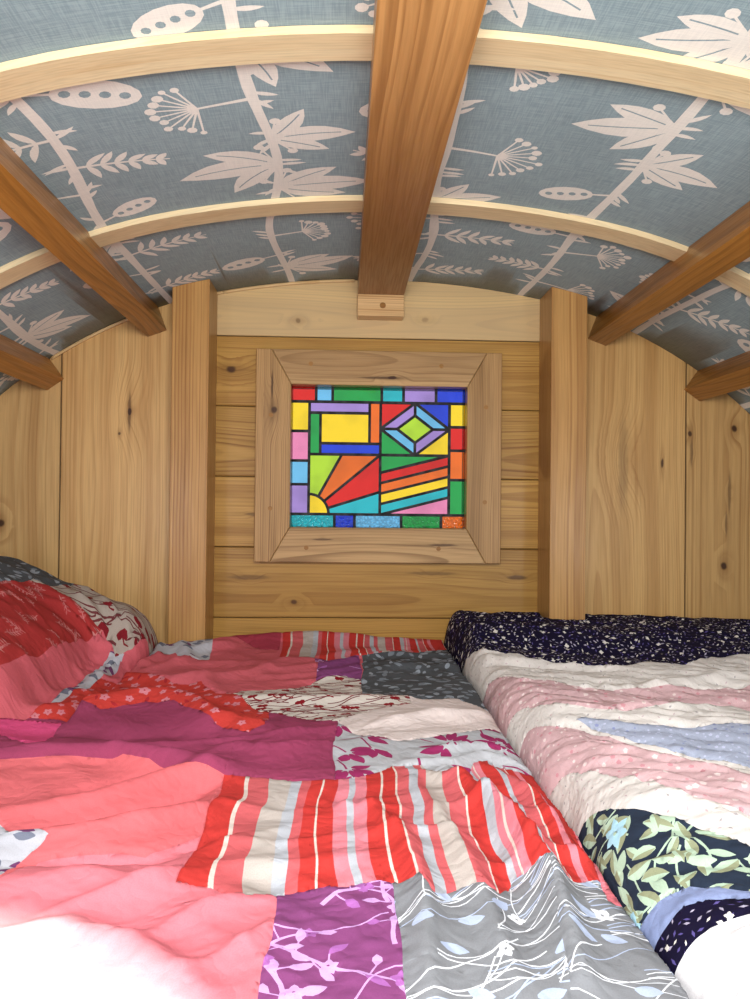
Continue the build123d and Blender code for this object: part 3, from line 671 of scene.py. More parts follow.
@dataclass
class Carpentry:
    """The timbers, boards and panes that the frame already has, given their finishes."""

    arris: float = 0.0012
    eased: tuple[str, ...] = (
        "wall_post_right", "wall_post_left", "ridge_beam", "ridge_cleat", "bed_front_beam",
        "bed_middle_beam", "bed_ledger", "bed_legs", "bed_slats", "side_rail_right",
        "side_rail_left", "side_posts_right", "side_posts_left", *PURLIN_NODES,
    )

    def finishes(self) -> dict[str, Finish]:
        """The finish of every node that stays in view."""
        table: dict[str, Finish] = {
            "wall_boards_centre": Wood.centre,
            "wall_boards_right": Wood.right,
            "wall_boards_left": Wood.left,
            "frame_head": Wood.frame_levels,
            "frame_sill": Wood.frame_levels,
            "ridge_beam": Wood.ridge,
            "ridge_cleat": Wood.cleat,
            "bed_front_beam": Wood.beams,
            "bed_middle_beam": Wood.beams,
            "bed_ledger": Wood.beams,
            "bed_legs": Wood.posts,
            "bed_slats": Wood.slats,
            "floor_boards": Wood.floor,
            "floor_bearers": RED_PAINT,
            "glazing_beads": Wood.frame_levels,
            "outer_frame": GREEN_PAINT,
            "crown_board": GREEN_PAINT,
            "corner_boards": GREEN_PAINT,
            "lead_cames": Lead("lead", "4a4a4e"),
        }
        for side in ("right", "left"):
            table[f"wall_post_{side}"] = Wood.posts
            table[f"frame_side_{side}"] = Wood.frame_sides
            table[f"side_boards_{side}"] = Wood.sides
            table[f"side_posts_{side}"] = Wood.posts
            table[f"side_rail_{side}"] = Wood.rails
            table[f"side_batten_{side}"] = GREEN_PAINT
            table[f"sill_{side}"] = RED_PAINT
        table.update({f"bow_{number}": Wood.bows for number in (1, 2, 3)})
        table.update({node: Wood.purlins for node in PURLIN_NODES})
        table.update(
            {f"panes_{name}": Glass(f"glass_{name}", code) for name, code in GLASS_COLOURS.items()}
        )
        return table

    def dress(self) -> None:
        """Gives each node its material, and eases the arrises of the timbers."""
        for name, finish in self.finishes().items():
            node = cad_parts[name]
            for slot in node.material_slots:
                slot.material = finish.material()
            LOG.info("%s: %s", name, finish.name)
        for name in self.eased:
            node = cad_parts[name]
            node.modifiers.new("merge", "WELD").merge_threshold = 1e-5
            bevel = node.modifiers.new("arris", "BEVEL")
            bevel.width, bevel.segments = self.arris, 2
            bevel.limit_method, bevel.angle_limit = "ANGLE", math.radians(50)


def add_piece(
    name: str, bm: Mesh, finishes: list[Finish], smooth: bool = True
) -> Piece:
    """Makes a piece of the wagon from its mesh.

    Args:
        name: The piece's name.
        bm: Its mesh, which is used up.
        finishes: Its finishes, in the order of its faces' numbers.
        smooth: Whether its faces are shaded smooth.

    Returns:
        The new object, which rides on the wagon.
    """
    mesh = bpy.data.meshes.new(name)
    for face in bm.faces:
        face.smooth = smooth
    bm.to_mesh(mesh)
    bm.free()
    for finish in finishes:
        mesh.materials.append(finish.material())
    piece = bpy.data.objects.new(name, mesh)
    bpy.context.scene.collection.objects.link(piece)
    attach(piece, BODY)
    LOG.info("%s: %d faces", name, len(mesh.polygons))
    return piece


@dataclass(frozen=True)
class Arch:
    """The curve that the lining lies on: three arcs a side, then straight down."""

    springing: float = 1.384
    foot: float = 0.812
    arcs: tuple[tuple[float, float], ...] = ((1.8, 11.0), (1.0, 43.0), (0.28, 90.0))

    def parts(self) -> list[tuple[float, float, float, float, float]]:
        """Centre x, centre z, radius, first turn and last turn of each arc."""
        made, x, z, start = [], 0.0, 0.0, 0.0
        for number, (radius, end) in enumerate(self.arcs):
            made.append((x, z, radius, math.radians(start), math.radians(end)))
            after = self.arcs[min(number + 1, len(self.arcs) - 1)][0]
            x += (radius - after) * math.sin(math.radians(end))
            z += (radius - after) * math.cos(math.radians(end))
            start = end
        lift = self.springing - made[-1][1]
        return [(x, z + lift, radius, start, end) for x, z, radius, start, end in made]

    def half(self) -> float:
        """The cloth's length from the crown to a foot."""
        curve = sum(radius * (end - start) for _, _, radius, start, end in self.parts())
        return curve + self.springing - self.foot

    def at(self, length: float, grow: float = 0.0) -> Point:
        """The point that far along from the crown.

        Args:
            length: Metres of cloth from the crown, negative on the left.
            grow: How far outside the curve.

        Returns:
            Its x and z.
        """
        left = abs(length)
        for x, z, radius, start, end in self.parts():
            turn = start + left / radius
            if turn <= end:
                across = x + (radius + grow) * math.sin(turn)
                return math.copysign(across, length), z + (radius + grow) * math.cos(turn)
            left -= radius * (end - start)
        x, z, radius, _, _ = self.parts()[-1]
        return math.copysign(x + radius + grow, length), z - left


ARCH = Arch()
FRONT, WALL_OUT, WALL_IN = -0.67, 0.65, 0.63
UPPER_ROOF = 1.7


def along(line: list[Point] | tuple[Point, ...], step: float, closed: bool = False) -> list[Point]:
    """A line or an outline with points no further apart than a step.

    Args:
        line: Its corners.
        step: The longest gap that is left.
        closed: Whether the last corner joins the first.

    Returns:
        The corners with the points between them.
    """
    made: list[Point] = []
    ends = [*line[1:], line[0]] if closed else line[1:]
    for (ax, ay), (bx, by) in zip(line, ends):
        count = max(1, math.ceil(math.hypot(bx - ax, by - ay) / step))
        made += [(ax + (bx - ax) * k / count, ay + (by - ay) * k / count) for k in range(count)]
    return made if closed else [*made, line[-1]]


def rounded(line: list[Point] | tuple[Point, ...]) -> list[Point]:
    """An open line with its corners cut twice."""
    for _ in range(2):
        made = [line[0]]
        for (ax, ay), (bx, by) in zip(line, line[1:]):
            for share in (0.25, 0.75):
                made.append((ax * (1 - share) + bx * share, ay * (1 - share) + by * share))
        line = [*made, line[-1]]
    return list(line)


def cut_cloth(
    points: list[Point], rings: list[list[Point]]
) -> tuple[list[Vector], list[tuple[list[int], list[int]]]]:
    """Cuts a flat cloth into triangles along the rings drawn on it.

    Args:
        points: Places that are to be corners.
        rings: Outlines, each turning left. Together they cover the cloth.

    Returns:
        The corners, and for each triangle its corners and the numbers of the rings round it.
    """
    corners = [Vector(point) for point in points]
    faces = []
    for ring in rings:
        first = len(corners)
        corners += [Vector(point) for point in ring]
        faces.append(list(range(first, len(corners))))
    flat, _, cells, _, _, families = geometry.delaunay_2d_cdt(corners, [], faces, 1, 1e-6)
    return flat, [(cell, family) for cell, family in zip(cells, families) if len(set(cell)) > 2]


@dataclass
class Drawing:
    """Outlines on the flat cloth, in metres, each with the number of its ink, 0 for bare cloth."""

    seed: int = 11
    ink: int = 1
    outlines: list[list[Point]] = field(default_factory=list)
    inks: list[int] = field(default_factory=list)

    def __post_init__(self) -> None:
        """Starts its chances."""
        chance = random.Random(self.seed)
        self.between, self.pick, self.share = chance.uniform, chance.choice, chance.random

    def add(self, ring: list[Point], ink: int | None = None) -> None:
        """Adds an outline, turned to run left round."""
        area = sum(ax * by - bx * ay for (ax, ay), (bx, by) in zip(ring, [*ring[1:], ring[0]]))
        self.outlines.append(ring if area > 0 else ring[::-1])
        self.inks.append(self.ink if ink is None else ink)

    def stroke(self, line: list[Point], widths: list[float] | float, ink: int | None = None) -> None:
        """A band along a line, with a half width at each point or one for all."""
        left, right = [], []
        for number, (x, y) in enumerate(line):
            before, after = line[max(number - 1, 0)], line[min(number + 1, len(line) - 1)]
            way = Vector((after[0] - before[0], after[1] - before[1])).normalized()
            step = Vector((-way.y, way.x)) * (widths if isinstance(widths, float) else widths[number])
            left.append((x + step.x, y + step.y))
            right.append((x - step.x, y - step.y))
        self.add(right + left[::-1], ink)

    def blob(self, x: float, y: float, radius: float, ink: int | None = None, sides: int = 9) -> None:
        """A round spot."""
        turns = [math.tau * step / sides for step in range(sides)]
        self.add([(x + radius * math.cos(a), y + radius * math.sin(a)) for a in turns], ink)

    def leaf(
        self, x: float, y: float, angle: float, length: float, width: float, ink: int | None = None,
        shaded: int = 0,
    ) -> None:
        """A leaf from its stalk, with the midrib of a long one left unprinted.

        Args:
            x: Place of its stalk across.
            y: Place of its stalk along.
            angle: The way it points.
            length: Its length.
            width: Its width.
            ink: Its ink.
            shaded: The ink of its one half, where it has two.
        """
        bend = self.between(-0.25, 0.25)
        steps = 3 if length < 0.016 else 5 if length < 0.05 else 6
        sides: tuple[list[Point], list[Point]] = ([], [])
        rib: list[Point] = []
        for step in range(steps + 1):
            share = step / steps
            half = width / 2 * math.sin(math.pi * min(share + 0.03, 1.0)) ** 0.75
            turn = angle + bend * share
            c, s = math.cos(turn), math.sin(turn)
            mid_x, mid_y = x + c * length * share, y + s * length * share
            for side, sign in zip(sides, (1, -1)):
                side.append((mid_x - s * half * sign, mid_y + c * half * sign))
            rib.append((mid_x, mid_y))
        self.add(sides[1] + sides[0][::-1], ink)
        if shaded:
            self.add(rib + sides[0][-2:0:-1], shaded)
        if length > 0.05:
            self.stroke(rib[1:-1], 0.0011, 0)


@dataclass
class PlantPrint(Drawing):
    """Trailing stems with leaves and seed heads, all in one ink."""

    half: float = 1.0
    start: float = 0.0
    end: float = 1.0
    gap: float = 0.262

    def __post_init__(self) -> None:
        """Draws the whole print."""
        Drawing.__post_init__(self)
        count = int(self.half / self.gap)
        for number in range(-count, count + 1):
            self.trail(number * self.gap + 0.07, 1 if number % 2 else -1)
        kept = [number for number, ring in enumerate(self.outlines) if self.inside(ring)]
        self.outlines = [self.outlines[number] for number in kept]
        self.inks = [self.inks[number] for number in kept]

    def inside(self, ring: list[Point]) -> bool:
        """Whether a whole outline is on the cloth."""
        return all(abs(x) < self.half and self.start < y < self.end for x, y in ring)

    def seed_head(self, x: float, y: float, angle: float, size: float) -> None:
        """A stalk that opens into rays, each with a seed at its tip."""
        c, s = math.cos(angle), math.sin(angle)
        hub = (x + c * size * 0.55, y + s * size * 0.55)
        self.stroke([(x, y), ((x + hub[0]) / 2 + 0.003, (y + hub[1]) / 2), hub], [0.0035, 0.0026, 0.002])
        rays = 11
        for ray in range(rays):
            turn = angle + math.radians(-78 + 156 * ray / (rays - 1))
            length = size * self.between(0.36, 0.46)
            tip = (hub[0] + math.cos(turn) * length, hub[1] + math.sin(turn) * length)
            self.stroke([hub, tip], [0.0017, 0.0012])
            self.blob(*tip, self.between(0.0045, 0.0075))

    def frond(self, x: float, y: float, angle: float, size: float) -> None:
        """A fern-like frond with paired leaflets."""
        c, s = math.cos(angle), math.sin(angle)
        self.stroke([(x, y), (x + c * size, y + s * size)], [0.003, 0.0012])
        pairs = 7
        for pair in range(1, pairs):
            share = pair / pairs
            spot = (x + c * size * share, y + s * size * share)
            for side in (1, -1):
                turn = angle + side * math.radians(58 - 18 * share)
                self.leaf(*spot, turn, size * (0.34 - 0.2 * share), 0.011)

    def pod(self, x: float, y: float, angle: float, size: float) -> None:
        """A fat pod on a stalk, with a row of open seeds."""
        c, s = math.cos(angle), math.sin(angle)
        self.stroke([(x, y), (x + c * size * 0.3, y + s * size * 0.3)], [0.003, 0.002])
        ring = []
        for step in range(16):
            turn = math.tau * step / 16
            a, b = size * (0.62 + 0.36 * math.cos(turn)), size * 0.2 * math.sin(turn)
            ring.append((x + c * a - s * b, y + s * a + c * b))
        self.add(ring)
        for seed in range(4):
            a = size * (0.38 + 0.155 * seed)
            self.blob(x + c * a, y + s * a, size * 0.048, 0)

    def spray(self, x: float, y: float, angle: float, size: float) -> None:
        """Three broad leaves and a pair of berries from one point."""
        for turn, share in ((-0.62, 0.75), (0.0, 1.0), (0.62, 0.75)):
            self.leaf(x, y, angle + turn, size * share, size * 0.3 * share + 0.006)
        for turn in (-1.15, 1.15):
            tip = (x + math.cos(angle + turn) * size * 0.4, y + math.sin(angle + turn) * size * 0.4)
            self.stroke([(x, y), tip], 0.0015)
            self.blob(*tip, 0.0075)

    def trail(self, place: float, side: int) -> None:
        """One stem along the wagon, with a plant every so often on either side."""
        line, widths = [], []
        steps = 52
        for step in range(steps + 1):
            y = self.start + 0.001 + (self.end - self.start - 0.002) * step / steps
            sway = ripple(place * 9, y * 3.1, 0.5) * 0.034
            line.append((place + sway, y))
            widths.append(0.0062 + 0.004 * abs(ripple(place * 5, y * 11, 3.0)))
        self.stroke(line, widths)
        plants = (self.seed_head, self.spray, self.frond, self.pod)
        y = self.start + 0.03 + 0.1 * self.share()
        while y < self.end - 0.05:
            spot = min(line, key=lambda point: abs(point[1] - y))
            out = 0.0 if side > 0 else math.pi
            angle = out + self.between(-0.45, 0.45)
            size = self.between(0.105, 0.15)
            self.pick(plants)(spot[0], spot[1], angle, size)
            for blade in range(3):
                turn = math.pi - out + self.between(-0.9, 0.9)
                foot = (spot[0], spot[1] + 0.014 * (blade - 1))
                self.leaf(*foot, turn, self.between(0.025, 0.042), 0.008)
            side = -side
            y += self.between(0.075, 0.105)


@dataclass
class RoofCloth:
    """The printed lining, the canvas over it, and the tacks and bead that trim them."""

    strip: float = 0.02
    lining_cut: Point = (3.41, 1.32)
    lining_weight: float = 0.0012
    lining_lift: float = 0.0006
    lining_short: float = 0.0005
    canvas_weight: float = 0.0024
    canvas_lift: float = 0.0076
    canvas_short: float = 0.001
    canvas_width: float = 0.66
    seam_half: float = 0.012
    tack_pitch: float = 0.085
    tack_radius: float = 0.0045
    tack_lift: float = 0.0085
    tack_in: float = 0.02
    tack_clear: float = 0.12
    bead_half: float = 0.0028
    bead_in: float = 0.003

    def lining(self) -> None:
        """Stretches the lining over the bows, under the canvas, with its print cut into its faces."""
        half = ARCH.half() - self.lining_short
        art = PlantPrint(half=half, start=FRONT, end=WALL_OUT)
        count = round(2 * half / self.strip)
        stops = [-half + 2 * half * step / count for step in range(count + 1)]
        strips = [
            [(a, FRONT), (b, FRONT), (b, WALL_OUT), (a, WALL_OUT)] for a, b in zip(stops, stops[1:])
        ]
        flat, cells = cut_cloth([], strips + art.outlines)
        bm = bmesh.new()
        sheet = bm.loops.layers.uv.new("cloth")
        verts = []
        for place in flat:
            x, z = ARCH.at(place.x, self.lining_lift)
            verts.append(bm.verts.new((x, place.y, z)))
        for cell, family in cells:
            try:
                face = bm.faces.new([verts[index] for index in cell])
            except ValueError:
                continue
            last = max(family) - count
            face.material_index = art.inks[last] if last >= 0 else 0
            for loop, index in zip(face.loops, cell):
                loop[sheet].uv = flat[index]
        bmesh.ops.remove_doubles(bm, verts=bm.verts, dist=1e-6)
        bm.normal_update()
        if sum(face.normal.z for face in bm.faces if face.calc_center_median().z > UPPER_ROOF) > 0:
            bmesh.ops.reverse_faces(bm, faces=bm.faces)
        linen = Weave("lining_linen", "8fa3a8", "6f858d", 0.0016, 0.75, 0.9)
        ink = Weave("lining_print", "e9e4da", "c9c8c2", 0.0016, 0.35, 0.9)
        piece = add_piece("lining_sheet", bm, [linen, ink])
        wall = piece.modifiers.new("thickness", "SOLIDIFY")
        wall.thickness, wall.offset = self.lining_weight, -1.0
        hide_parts("roof_lining")

    def canvas(self) -> None:
        """Stretches the canvas over the lining, a little uneven and with its seams proud."""
        half = ARCH.half() - self.canvas_short
        long, wide = 180, 66
        bm = bmesh.new()
        bmesh.ops.create_grid(bm, x_segments=long, y_segments=wide, size=0.5)
        sheet = bm.loops.layers.uv.new("cloth")
        flat = {}
        for vert in bm.verts:
            s, y = vert.co.x * 2 * half, (vert.co.y + 0.5) * (WALL_OUT - FRONT) + FRONT
            flat[vert] = (s, y)
            seam = int(abs(math.remainder(y + 0.2, self.canvas_width)) < self.seam_half)
            slack = 0.0012 * ripple(s * 6, y * 9, 0.0)
            x, z = ARCH.at(s, self.canvas_lift + slack + 0.0009 * seam)
            vert.co = (x, y, z)
        for face in bm.faces:
            for loop in face.loops:
                loop[sheet].uv = flat[loop.vert]
        bm.normal_update()
        if sum(face.normal.z for face in bm.faces if face.calc_center_median().z > UPPER_ROOF) < 0:
            bmesh.ops.reverse_faces(bm, faces=bm.faces)
        duck = Weave("canvas_duck", "3d5443", "2b3d31", 0.0013, 0.6, 0.75)
        piece = add_piece("canvas_sheet", bm, [duck])
        wall = piece.modifiers.new("thickness", "SOLIDIFY")
        wall.thickness, wall.offset = self.canvas_weight, -1.0
        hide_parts("roof_canvas")

    def tacks(self) -> None:
        """Domed tacks that hold the canvas to the front bow."""
        bm = bmesh.new()
        reach = ARCH.half() - self.tack_clear
        count = int(reach / self.tack_pitch)
        for number in range(-count, count + 1):
            s = number * self.tack_pitch
            x, z = ARCH.at(s, self.tack_lift)
            nx, nz = ARCH.at(s, self.tack_lift + 1.0)
            out = Vector((nx - x, 0, nz - z)).normalized()
            dome = bmesh.ops.create_uvsphere(
                bm, u_segments=10, v_segments=6, radius=self.tack_radius
            )["verts"]
            turn = out.to_track_quat("Z", "Y").to_matrix().to_4x4()
            place = Matrix.Translation((x, FRONT + self.tack_in, z)) @ turn
            bmesh.ops.transform(bm, matrix=place @ Matrix.Diagonal((1, 1, 0.45, 1)), verts=dome)
        add_piece("canvas_tacks", bm, [Lead("tack_brass", "a8863c", 0.3)])

    def bead(self) -> None:
        """A thin pale bead in the corner of the wall and the lining, left of the ridge."""
        bm = bmesh.new()
        for first, last in ((-11.0, -1.8), (-17.6, -11.0), (-34.0, -22.5)):
            self.bead_run(bm, first, last)
        pine = Pine("pine_bead", Axis.ARCH, Axis.Y, pale="e2c08c", ring="c79c62")
        add_piece("wall_bead", bm, [pine])

    def bead_run(self, bm: Mesh, first: float, last: float) -> None:
        """One run of the bead between two turns of the same arc, in degrees."""
        middle = math.radians(abs(first + last) / 2)
        x, z, radius, _, _ = next(part for part in ARCH.parts() if middle <= part[4])
        centre = Vector((-x, WALL_IN - self.bead_in, z))
        square = bmesh.ops.create_grid(bm, x_segments=1, y_segments=1, size=self.bead_half)
        start = math.radians(first)
        place = (
            Matrix.Translation(centre)
            @ Matrix.Rotation(start, 4, "Y")
            @ Matrix.Translation((0, 0, radius - self.bead_in))
            @ Matrix.Rotation(math.radians(90), 4, "Y")
        )
        bmesh.ops.transform(bm, matrix=place, verts=square["verts"])
        faces = list({face for vert in square["verts"] for face in vert.link_faces})
        bmesh.ops.spin(
            bm, geom=faces, cent=centre, axis=(0, 1, 0), dvec=(0, 0, 0),
            angle=math.radians(last - first), steps=24, use_merge=False, use_duplicate=False,
        )
        bmesh.ops.recalc_face_normals(bm, faces=bm.faces)

    def build(self) -> None:
        """Makes every part of the roof's cloth."""
        self.lining()
        self.canvas()
        self.tacks()
        self.bead()


@dataclass
class Fixings:
    """Round plugs over the screws of the window frame and of the cleat."""

    plug: float = 0.0052
    proud: float = 0.0012
    depth: float = 0.0035
    frame_face: float = 0.6
    cleat_plug: tuple[float, float, float, float] = (0.004, 0.59, 1.805, 0.007)
    frame_plugs: tuple[Point, ...] = (
        (-0.1495, 1.678), (0.1335, 1.678), (-0.155, 1.281), (0.131, 1.281),
        (-0.233, 1.365), (-0.234, 1.566), (0.232, 1.59), (0.231, 1.383),
    )

    def build(self) -> None:
        """Sets the plugs, a hair proud, with their grain turned."""
        bm = bmesh.new()
        places = [(x, self.frame_face, z, self.plug) for x, z in self.frame_plugs]
        places.append(self.cleat_plug)
        for x, y, z, radius in places:
            disc = bmesh.ops.create_cone(
                bm, cap_ends=True, segments=20, radius1=radius, radius2=radius * 0.94, depth=self.depth
            )["verts"]
            place = Matrix.Translation((x, y + self.proud, z))
            turn = Matrix.Rotation(math.radians(90), 4, "X")
            bmesh.ops.transform(bm, matrix=place @ turn, verts=disc)
        grain = Pine(
            "pine_plugs", Axis.X, Axis.Z, pale="a5763f", ring="6f4722", ring_width=0.003, knot_rate=0.1
        )
        add_piece("screw_plugs", bm, [grain], smooth=False)


class Cloths:
    """The cottons of the bedding."""

    rose = Cotton("cotton_rose", "c75f69")
    crimson = Cotton("cotton_crimson", "a03a4b")
    plum = Cotton("cotton_plum", "913c5a")
    coral = Cotton("cotton_coral", "ce656a")
    pink = Cotton("cotton_pink", "d4747f")
    # The coral cotton again, painted a lighter pink for the stronger light near the camera, and whitened
    # by a painted glare round its front edge.
    painted_glare = Cotton("cotton_pink_glare", "d4747f", painted_glare=(-0.43, -0.78, 0.298, 0.362, "f2e8ea"))
    bright = Cotton("cotton_bright_pink", "cb4a78")
    blush = Cotton("cotton_blush", "d4c6c2")
    # Painted highlight: the near-white of the glare on the pink cotton, used where that cotton hangs
    # down the front.
    pale = Cotton("cotton_pink_full_glare", "f2e8ea")
    white = Cotton("cotton_white", "e0dee0")
    blossom = Cotton("cotton_blossom", "bc3c36", Motif.BLOSSOM, ("c87a85", "a02a30"))
    sprigged = Cotton("cotton_red_sprig", "a63636", Motif.TWIGS, ("c57f7e", "b86062"))
    berries = Cotton("cotton_berries", "c9c1b8", Motif.BERRIES, ("6a232b", "7f1722"))
    drops = Cotton("cotton_berry_drops", "a79c92", Motif.BERRIES, ("6a3538", "7b2028"), 1.25)
    magenta = Cotton("cotton_magenta_leaves", "aeb0b5", Motif.SPRAYS, ("922d5c", "b0bcc4"))
    slate = Cotton("cotton_slate", "4d5054", Motif.LEAVES, ("787f88", "929aa4"), 1.2)
    sprig = Cotton("cotton_grey_sprig", "7c7e82", Motif.STREAMS, ("dfe2e8", "aab6cf"))
    purple = Cotton("cotton_purple_sprig", "7f4271", Motif.VINE, ("c79bd3", "a463a8"))
    floral = Cotton("cotton_grey_floral", "b2b3bb", Motif.LEAVES, ("6f7484", "6d3f68"), 1.5)
    stripes = Cotton(
        "cotton_stripes", "bf5a5e", Motif.STRIPES,
        ("b93733", "cfc1b8", "b1a7a0", "aaadb4", "cc7883"),
    )
    navy = Cotton("cotton_navy_ditsy", "130f27", Motif.DITSY, ("d2cdc6", "a29bb0", "564c86"))
    cream = Cotton("cotton_cream_ticks", "cfc9c4", Motif.TICKS, ("9b9595", "b9a5a8"))
    dusty = Cotton("cotton_dusty_pink", "c5a3a6", Motif.FLECKS, ("d9c6c4", "bf8890"))
    lavender = Cotton("cotton_lavender", "9ba2b5", Motif.FLECKS, ("b3b8d0", "8188ad"), 0.7)
    garden = Cotton("cotton_garden", "252e3d", Motif.GARDEN, ("a9bfa8", "8d9274", "a3cbdb", "d9c6bd"))
    violet = Cotton("cotton_blue_violet", "7d89ad")


def points(*numbers: float) -> tuple[Point, ...]:
    """Points from their x and y in turn, in millimetres."""
    return tuple((x / 1000, y / 1000) for x, y in zip(numbers[::2], numbers[1::2]))


ROW_PITCH = 0.87
STRIPE_RUN = (
    (0.023, 1), (0.004, 2), (0.021, 0), (0.022, 3), (0.011, 4), (0.009, 0), (0.013, 1), (0.002, 2),
    (0.0145, 1), (0.013, 5), (0.007, 4), (0.012, 5), (0.015, 1), (0.0025, 2), (0.013, 1), (0.002, 2),
    (0.011, 0), (0.009, 4), (0.008, 0), (0.016, 3), (0.016, 0), (0.002, 2), (0.014, 1), (0.007, 4),
    (0.004, 5), (0.0015, 2), (0.0065, 5), (0.013, 1), (0.004, 4), (0.012, 0), (0.0015, 2), (0.009, 1),
    (0.006, 5),
)


@dataclass(frozen=True)
class Patch:
    """A piece of one cotton, by its outline on the flat cloth, which turns left."""

    cloth: Cotton
    line: tuple[Point, ...]

    def box(self) -> tuple[float, float, float, float]:
        """Its lowest x and y, then its highest."""
        xs, ys = [x for x, _ in self.line], [y for _, y in self.line]
        return min(xs), min(ys), max(xs), max(ys)

    def holds(self, x: float, y: float) -> bool:
        """Whether a point lies within its outline."""
        inside = False
        for (ax, ay), (bx, by) in zip(self.line, [*self.line[1:], self.line[0]]):
            if (ay > y) != (by > y) and x < ax + (bx - ax) * (y - ay) / (by - ay):
                inside = not inside
        return inside


def patch(cloth: Cotton, *corners: float) -> Patch:
    """A patch from its corners' x and y in turn, in millimetres."""
    return Patch(cloth, points(*corners))


@dataclass
class CottonPrint(Drawing):
    """What is printed or woven on a patch."""

    def draw(self, cloth: Cotton, box: tuple[float, float, float, float]) -> "CottonPrint":
        """Draws the cloth's motif over a box."""
        if cloth.motif is not Motif.PLAIN:
            getattr(self, cloth.motif.value)(box, cloth.scale)
        return self

    def spots(self, box: tuple, gap: float, share: float = 1.0) -> list[Point]:
        """Places strewn evenly over a box, with a share of them kept."""
        made = []
        rows = int((box[3] - box[1]) / (gap * ROW_PITCH)) + 1
        for row in range(rows):
            for column in range(int((box[2] - box[0]) / gap) + 1):
                x = box[0] + (column + 0.5 * (row % 2) + self.between(-0.3, 0.3)) * gap
                y = box[1] + (row * ROW_PITCH + self.between(-0.3, 0.3)) * gap
                if self.share() < share:
                    made.append((x, y))
        return made

    def flower(self, x: float, y: float, size: float, petals: int, ink: int, heart: int = 0) -> None:
        """Round petals about a point."""
        start = self.share() * math.tau
        ring = []
        for step in range(petals * 4):
            turn = start + math.tau * step / (petals * 4)
            reach = size * (0.8 + 0.2 * math.sin(petals * (turn - start)) * self.between(0.7, 1.2))
            ring.append((x + reach * math.cos(turn), y + reach * math.sin(turn)))
        self.add(ring, ink)
        if size > 0.006:
            self.blob(x, y, size * 0.16, heart, 6)

    def mark(
        self, x: float, y: float, length: float, wide: float, ink: int, turn: float | None = None
    ) -> None:
        """A small pointed mark."""
        angle = self.share() * math.tau if turn is None else turn
        c, s = math.cos(angle) * length / 2, math.sin(angle) * length / 2
        right, left = (x + s * wide, y - c * wide), (x - s * wide, y + c * wide)
        self.add([(x - c, y - s), right, (x + c, y + s), left], ink)

    def flow(
        self, x: float, y: float, turn: float, length: float, step: float, sway: float
    ) -> list[Point]:
        """A wandering line from a point."""
        line = [(x, y)]
        seed = self.share() * 50
        for number in range(int(length / step)):
            bend = sway * ripple(number * step * 14, seed, 0.0)
            x, y = x + step * math.cos(turn + bend), y + step * math.sin(turn + bend)
            line.append((x, y))
        return line

    def stripes(self, box: tuple, scale: float) -> None:
        """Woven stripes across the box."""
        x, low, high = box[0], box[1], box[3]
        while x < box[2]:
            for width, ink in STRIPE_RUN:
                if ink and x < box[2]:
                    up = along([(x, low), (x, high)], 0.006)
                    down = along([(x + width * scale, high), (x + width * scale, low)], 0.006)
                    edge = down[::-1] + up[::-1]
                    self.add([(a + 0.0012 * ripple(a * 90, b * 16, 0.0), b) for a, b in edge], ink)
                x += width * scale

    def berries(self, box: tuple, scale: float) -> None:
        """Dark stems that flow side by side, with heart-shaped berries."""
        for x, y in self.spots(box, 0.024 * scale, 0.95):
            line = self.flow(x, y, 0.12, self.between(0.06, 0.12), 0.007, 1.3)
            self.stroke(line, 0.0009 * scale, 1)
        for x, y in self.spots(box, 0.026 * scale, 0.62):
            size = 0.0058 * scale
            self.blob(x - size * 0.5, y, size * 0.8, 2, 7)
            self.blob(x + size * 0.5, y + size * 0.2, size * 0.8, 2, 7)
            self.stroke([(x, y), (x + 0.006, y - 0.008), (x + 0.016, y - 0.012)], 0.0011, 2)

    def leaves(self, box: tuple, scale: float) -> None:
        """Small leaves that lie every way."""
        for x, y in self.spots(box, 0.0165 * scale, 0.9):
            length = self.between(0.011, 0.017) * scale
            turn, ink = self.share() * math.tau, self.pick((1, 1, 2))
            self.leaf(x, y, turn, length, length * 0.48, ink)

    def twigs(self, box: tuple, scale: float) -> None:
        """Fine twigs with needle leaves."""
        for x, y in self.spots(box, 0.034 * scale, 0.8):
            turn = self.share() * math.tau
            line = self.flow(x, y, turn, 0.03, 0.006, 1.0)
            self.stroke(line, 0.0006, 1)
            for spot in line[1:]:
                for side in (-0.8, 0.8):
                    way = turn + side
                    tip = (spot[0] + 0.004 * math.cos(way), spot[1] + 0.004 * math.sin(way))
                    self.mark(*tip, 0.009, 0.3, self.pick((1, 2)), way)

    def blossom(self, box: tuple, scale: float) -> None:
        """Small blossoms with leaves between them."""
        for x, y in self.spots(box, 0.028 * scale, 0.85):
            self.flower(x, y, self.between(0.005, 0.0095) * scale, 5, 1, 2)
        for x, y in self.spots(box, 0.024 * scale, 0.5):
            self.leaf(x, y, self.share() * math.tau, 0.012 * scale, 0.005 * scale, 2)

    def sprays(self, box: tuple, scale: float) -> None:
        """Bold leaves in sprays from thin stalks."""
        for x, y in self.spots(box, 0.062 * scale, 0.95):
            turn = self.share() * math.tau
            for number in range(self.pick((3, 4, 5))):
                angle = turn + (number - 1.5) * 0.75
                foot = (x + 0.006 * math.cos(angle), y + 0.006 * math.sin(angle))
                self.leaf(*foot, angle, self.between(0.024, 0.036) * scale, 0.014 * scale, 1)
            self.stroke(self.flow(x, y, turn + math.pi, 0.04, 0.006, 1.2), 0.0013, 1)
        for x, y in self.spots(box, 0.13 * scale, 0.6):
            self.flower(x, y, 0.021 * scale, 6, 1)
            self.leaf(x - 0.006, y, 0.4, 0.016, 0.003, 2)

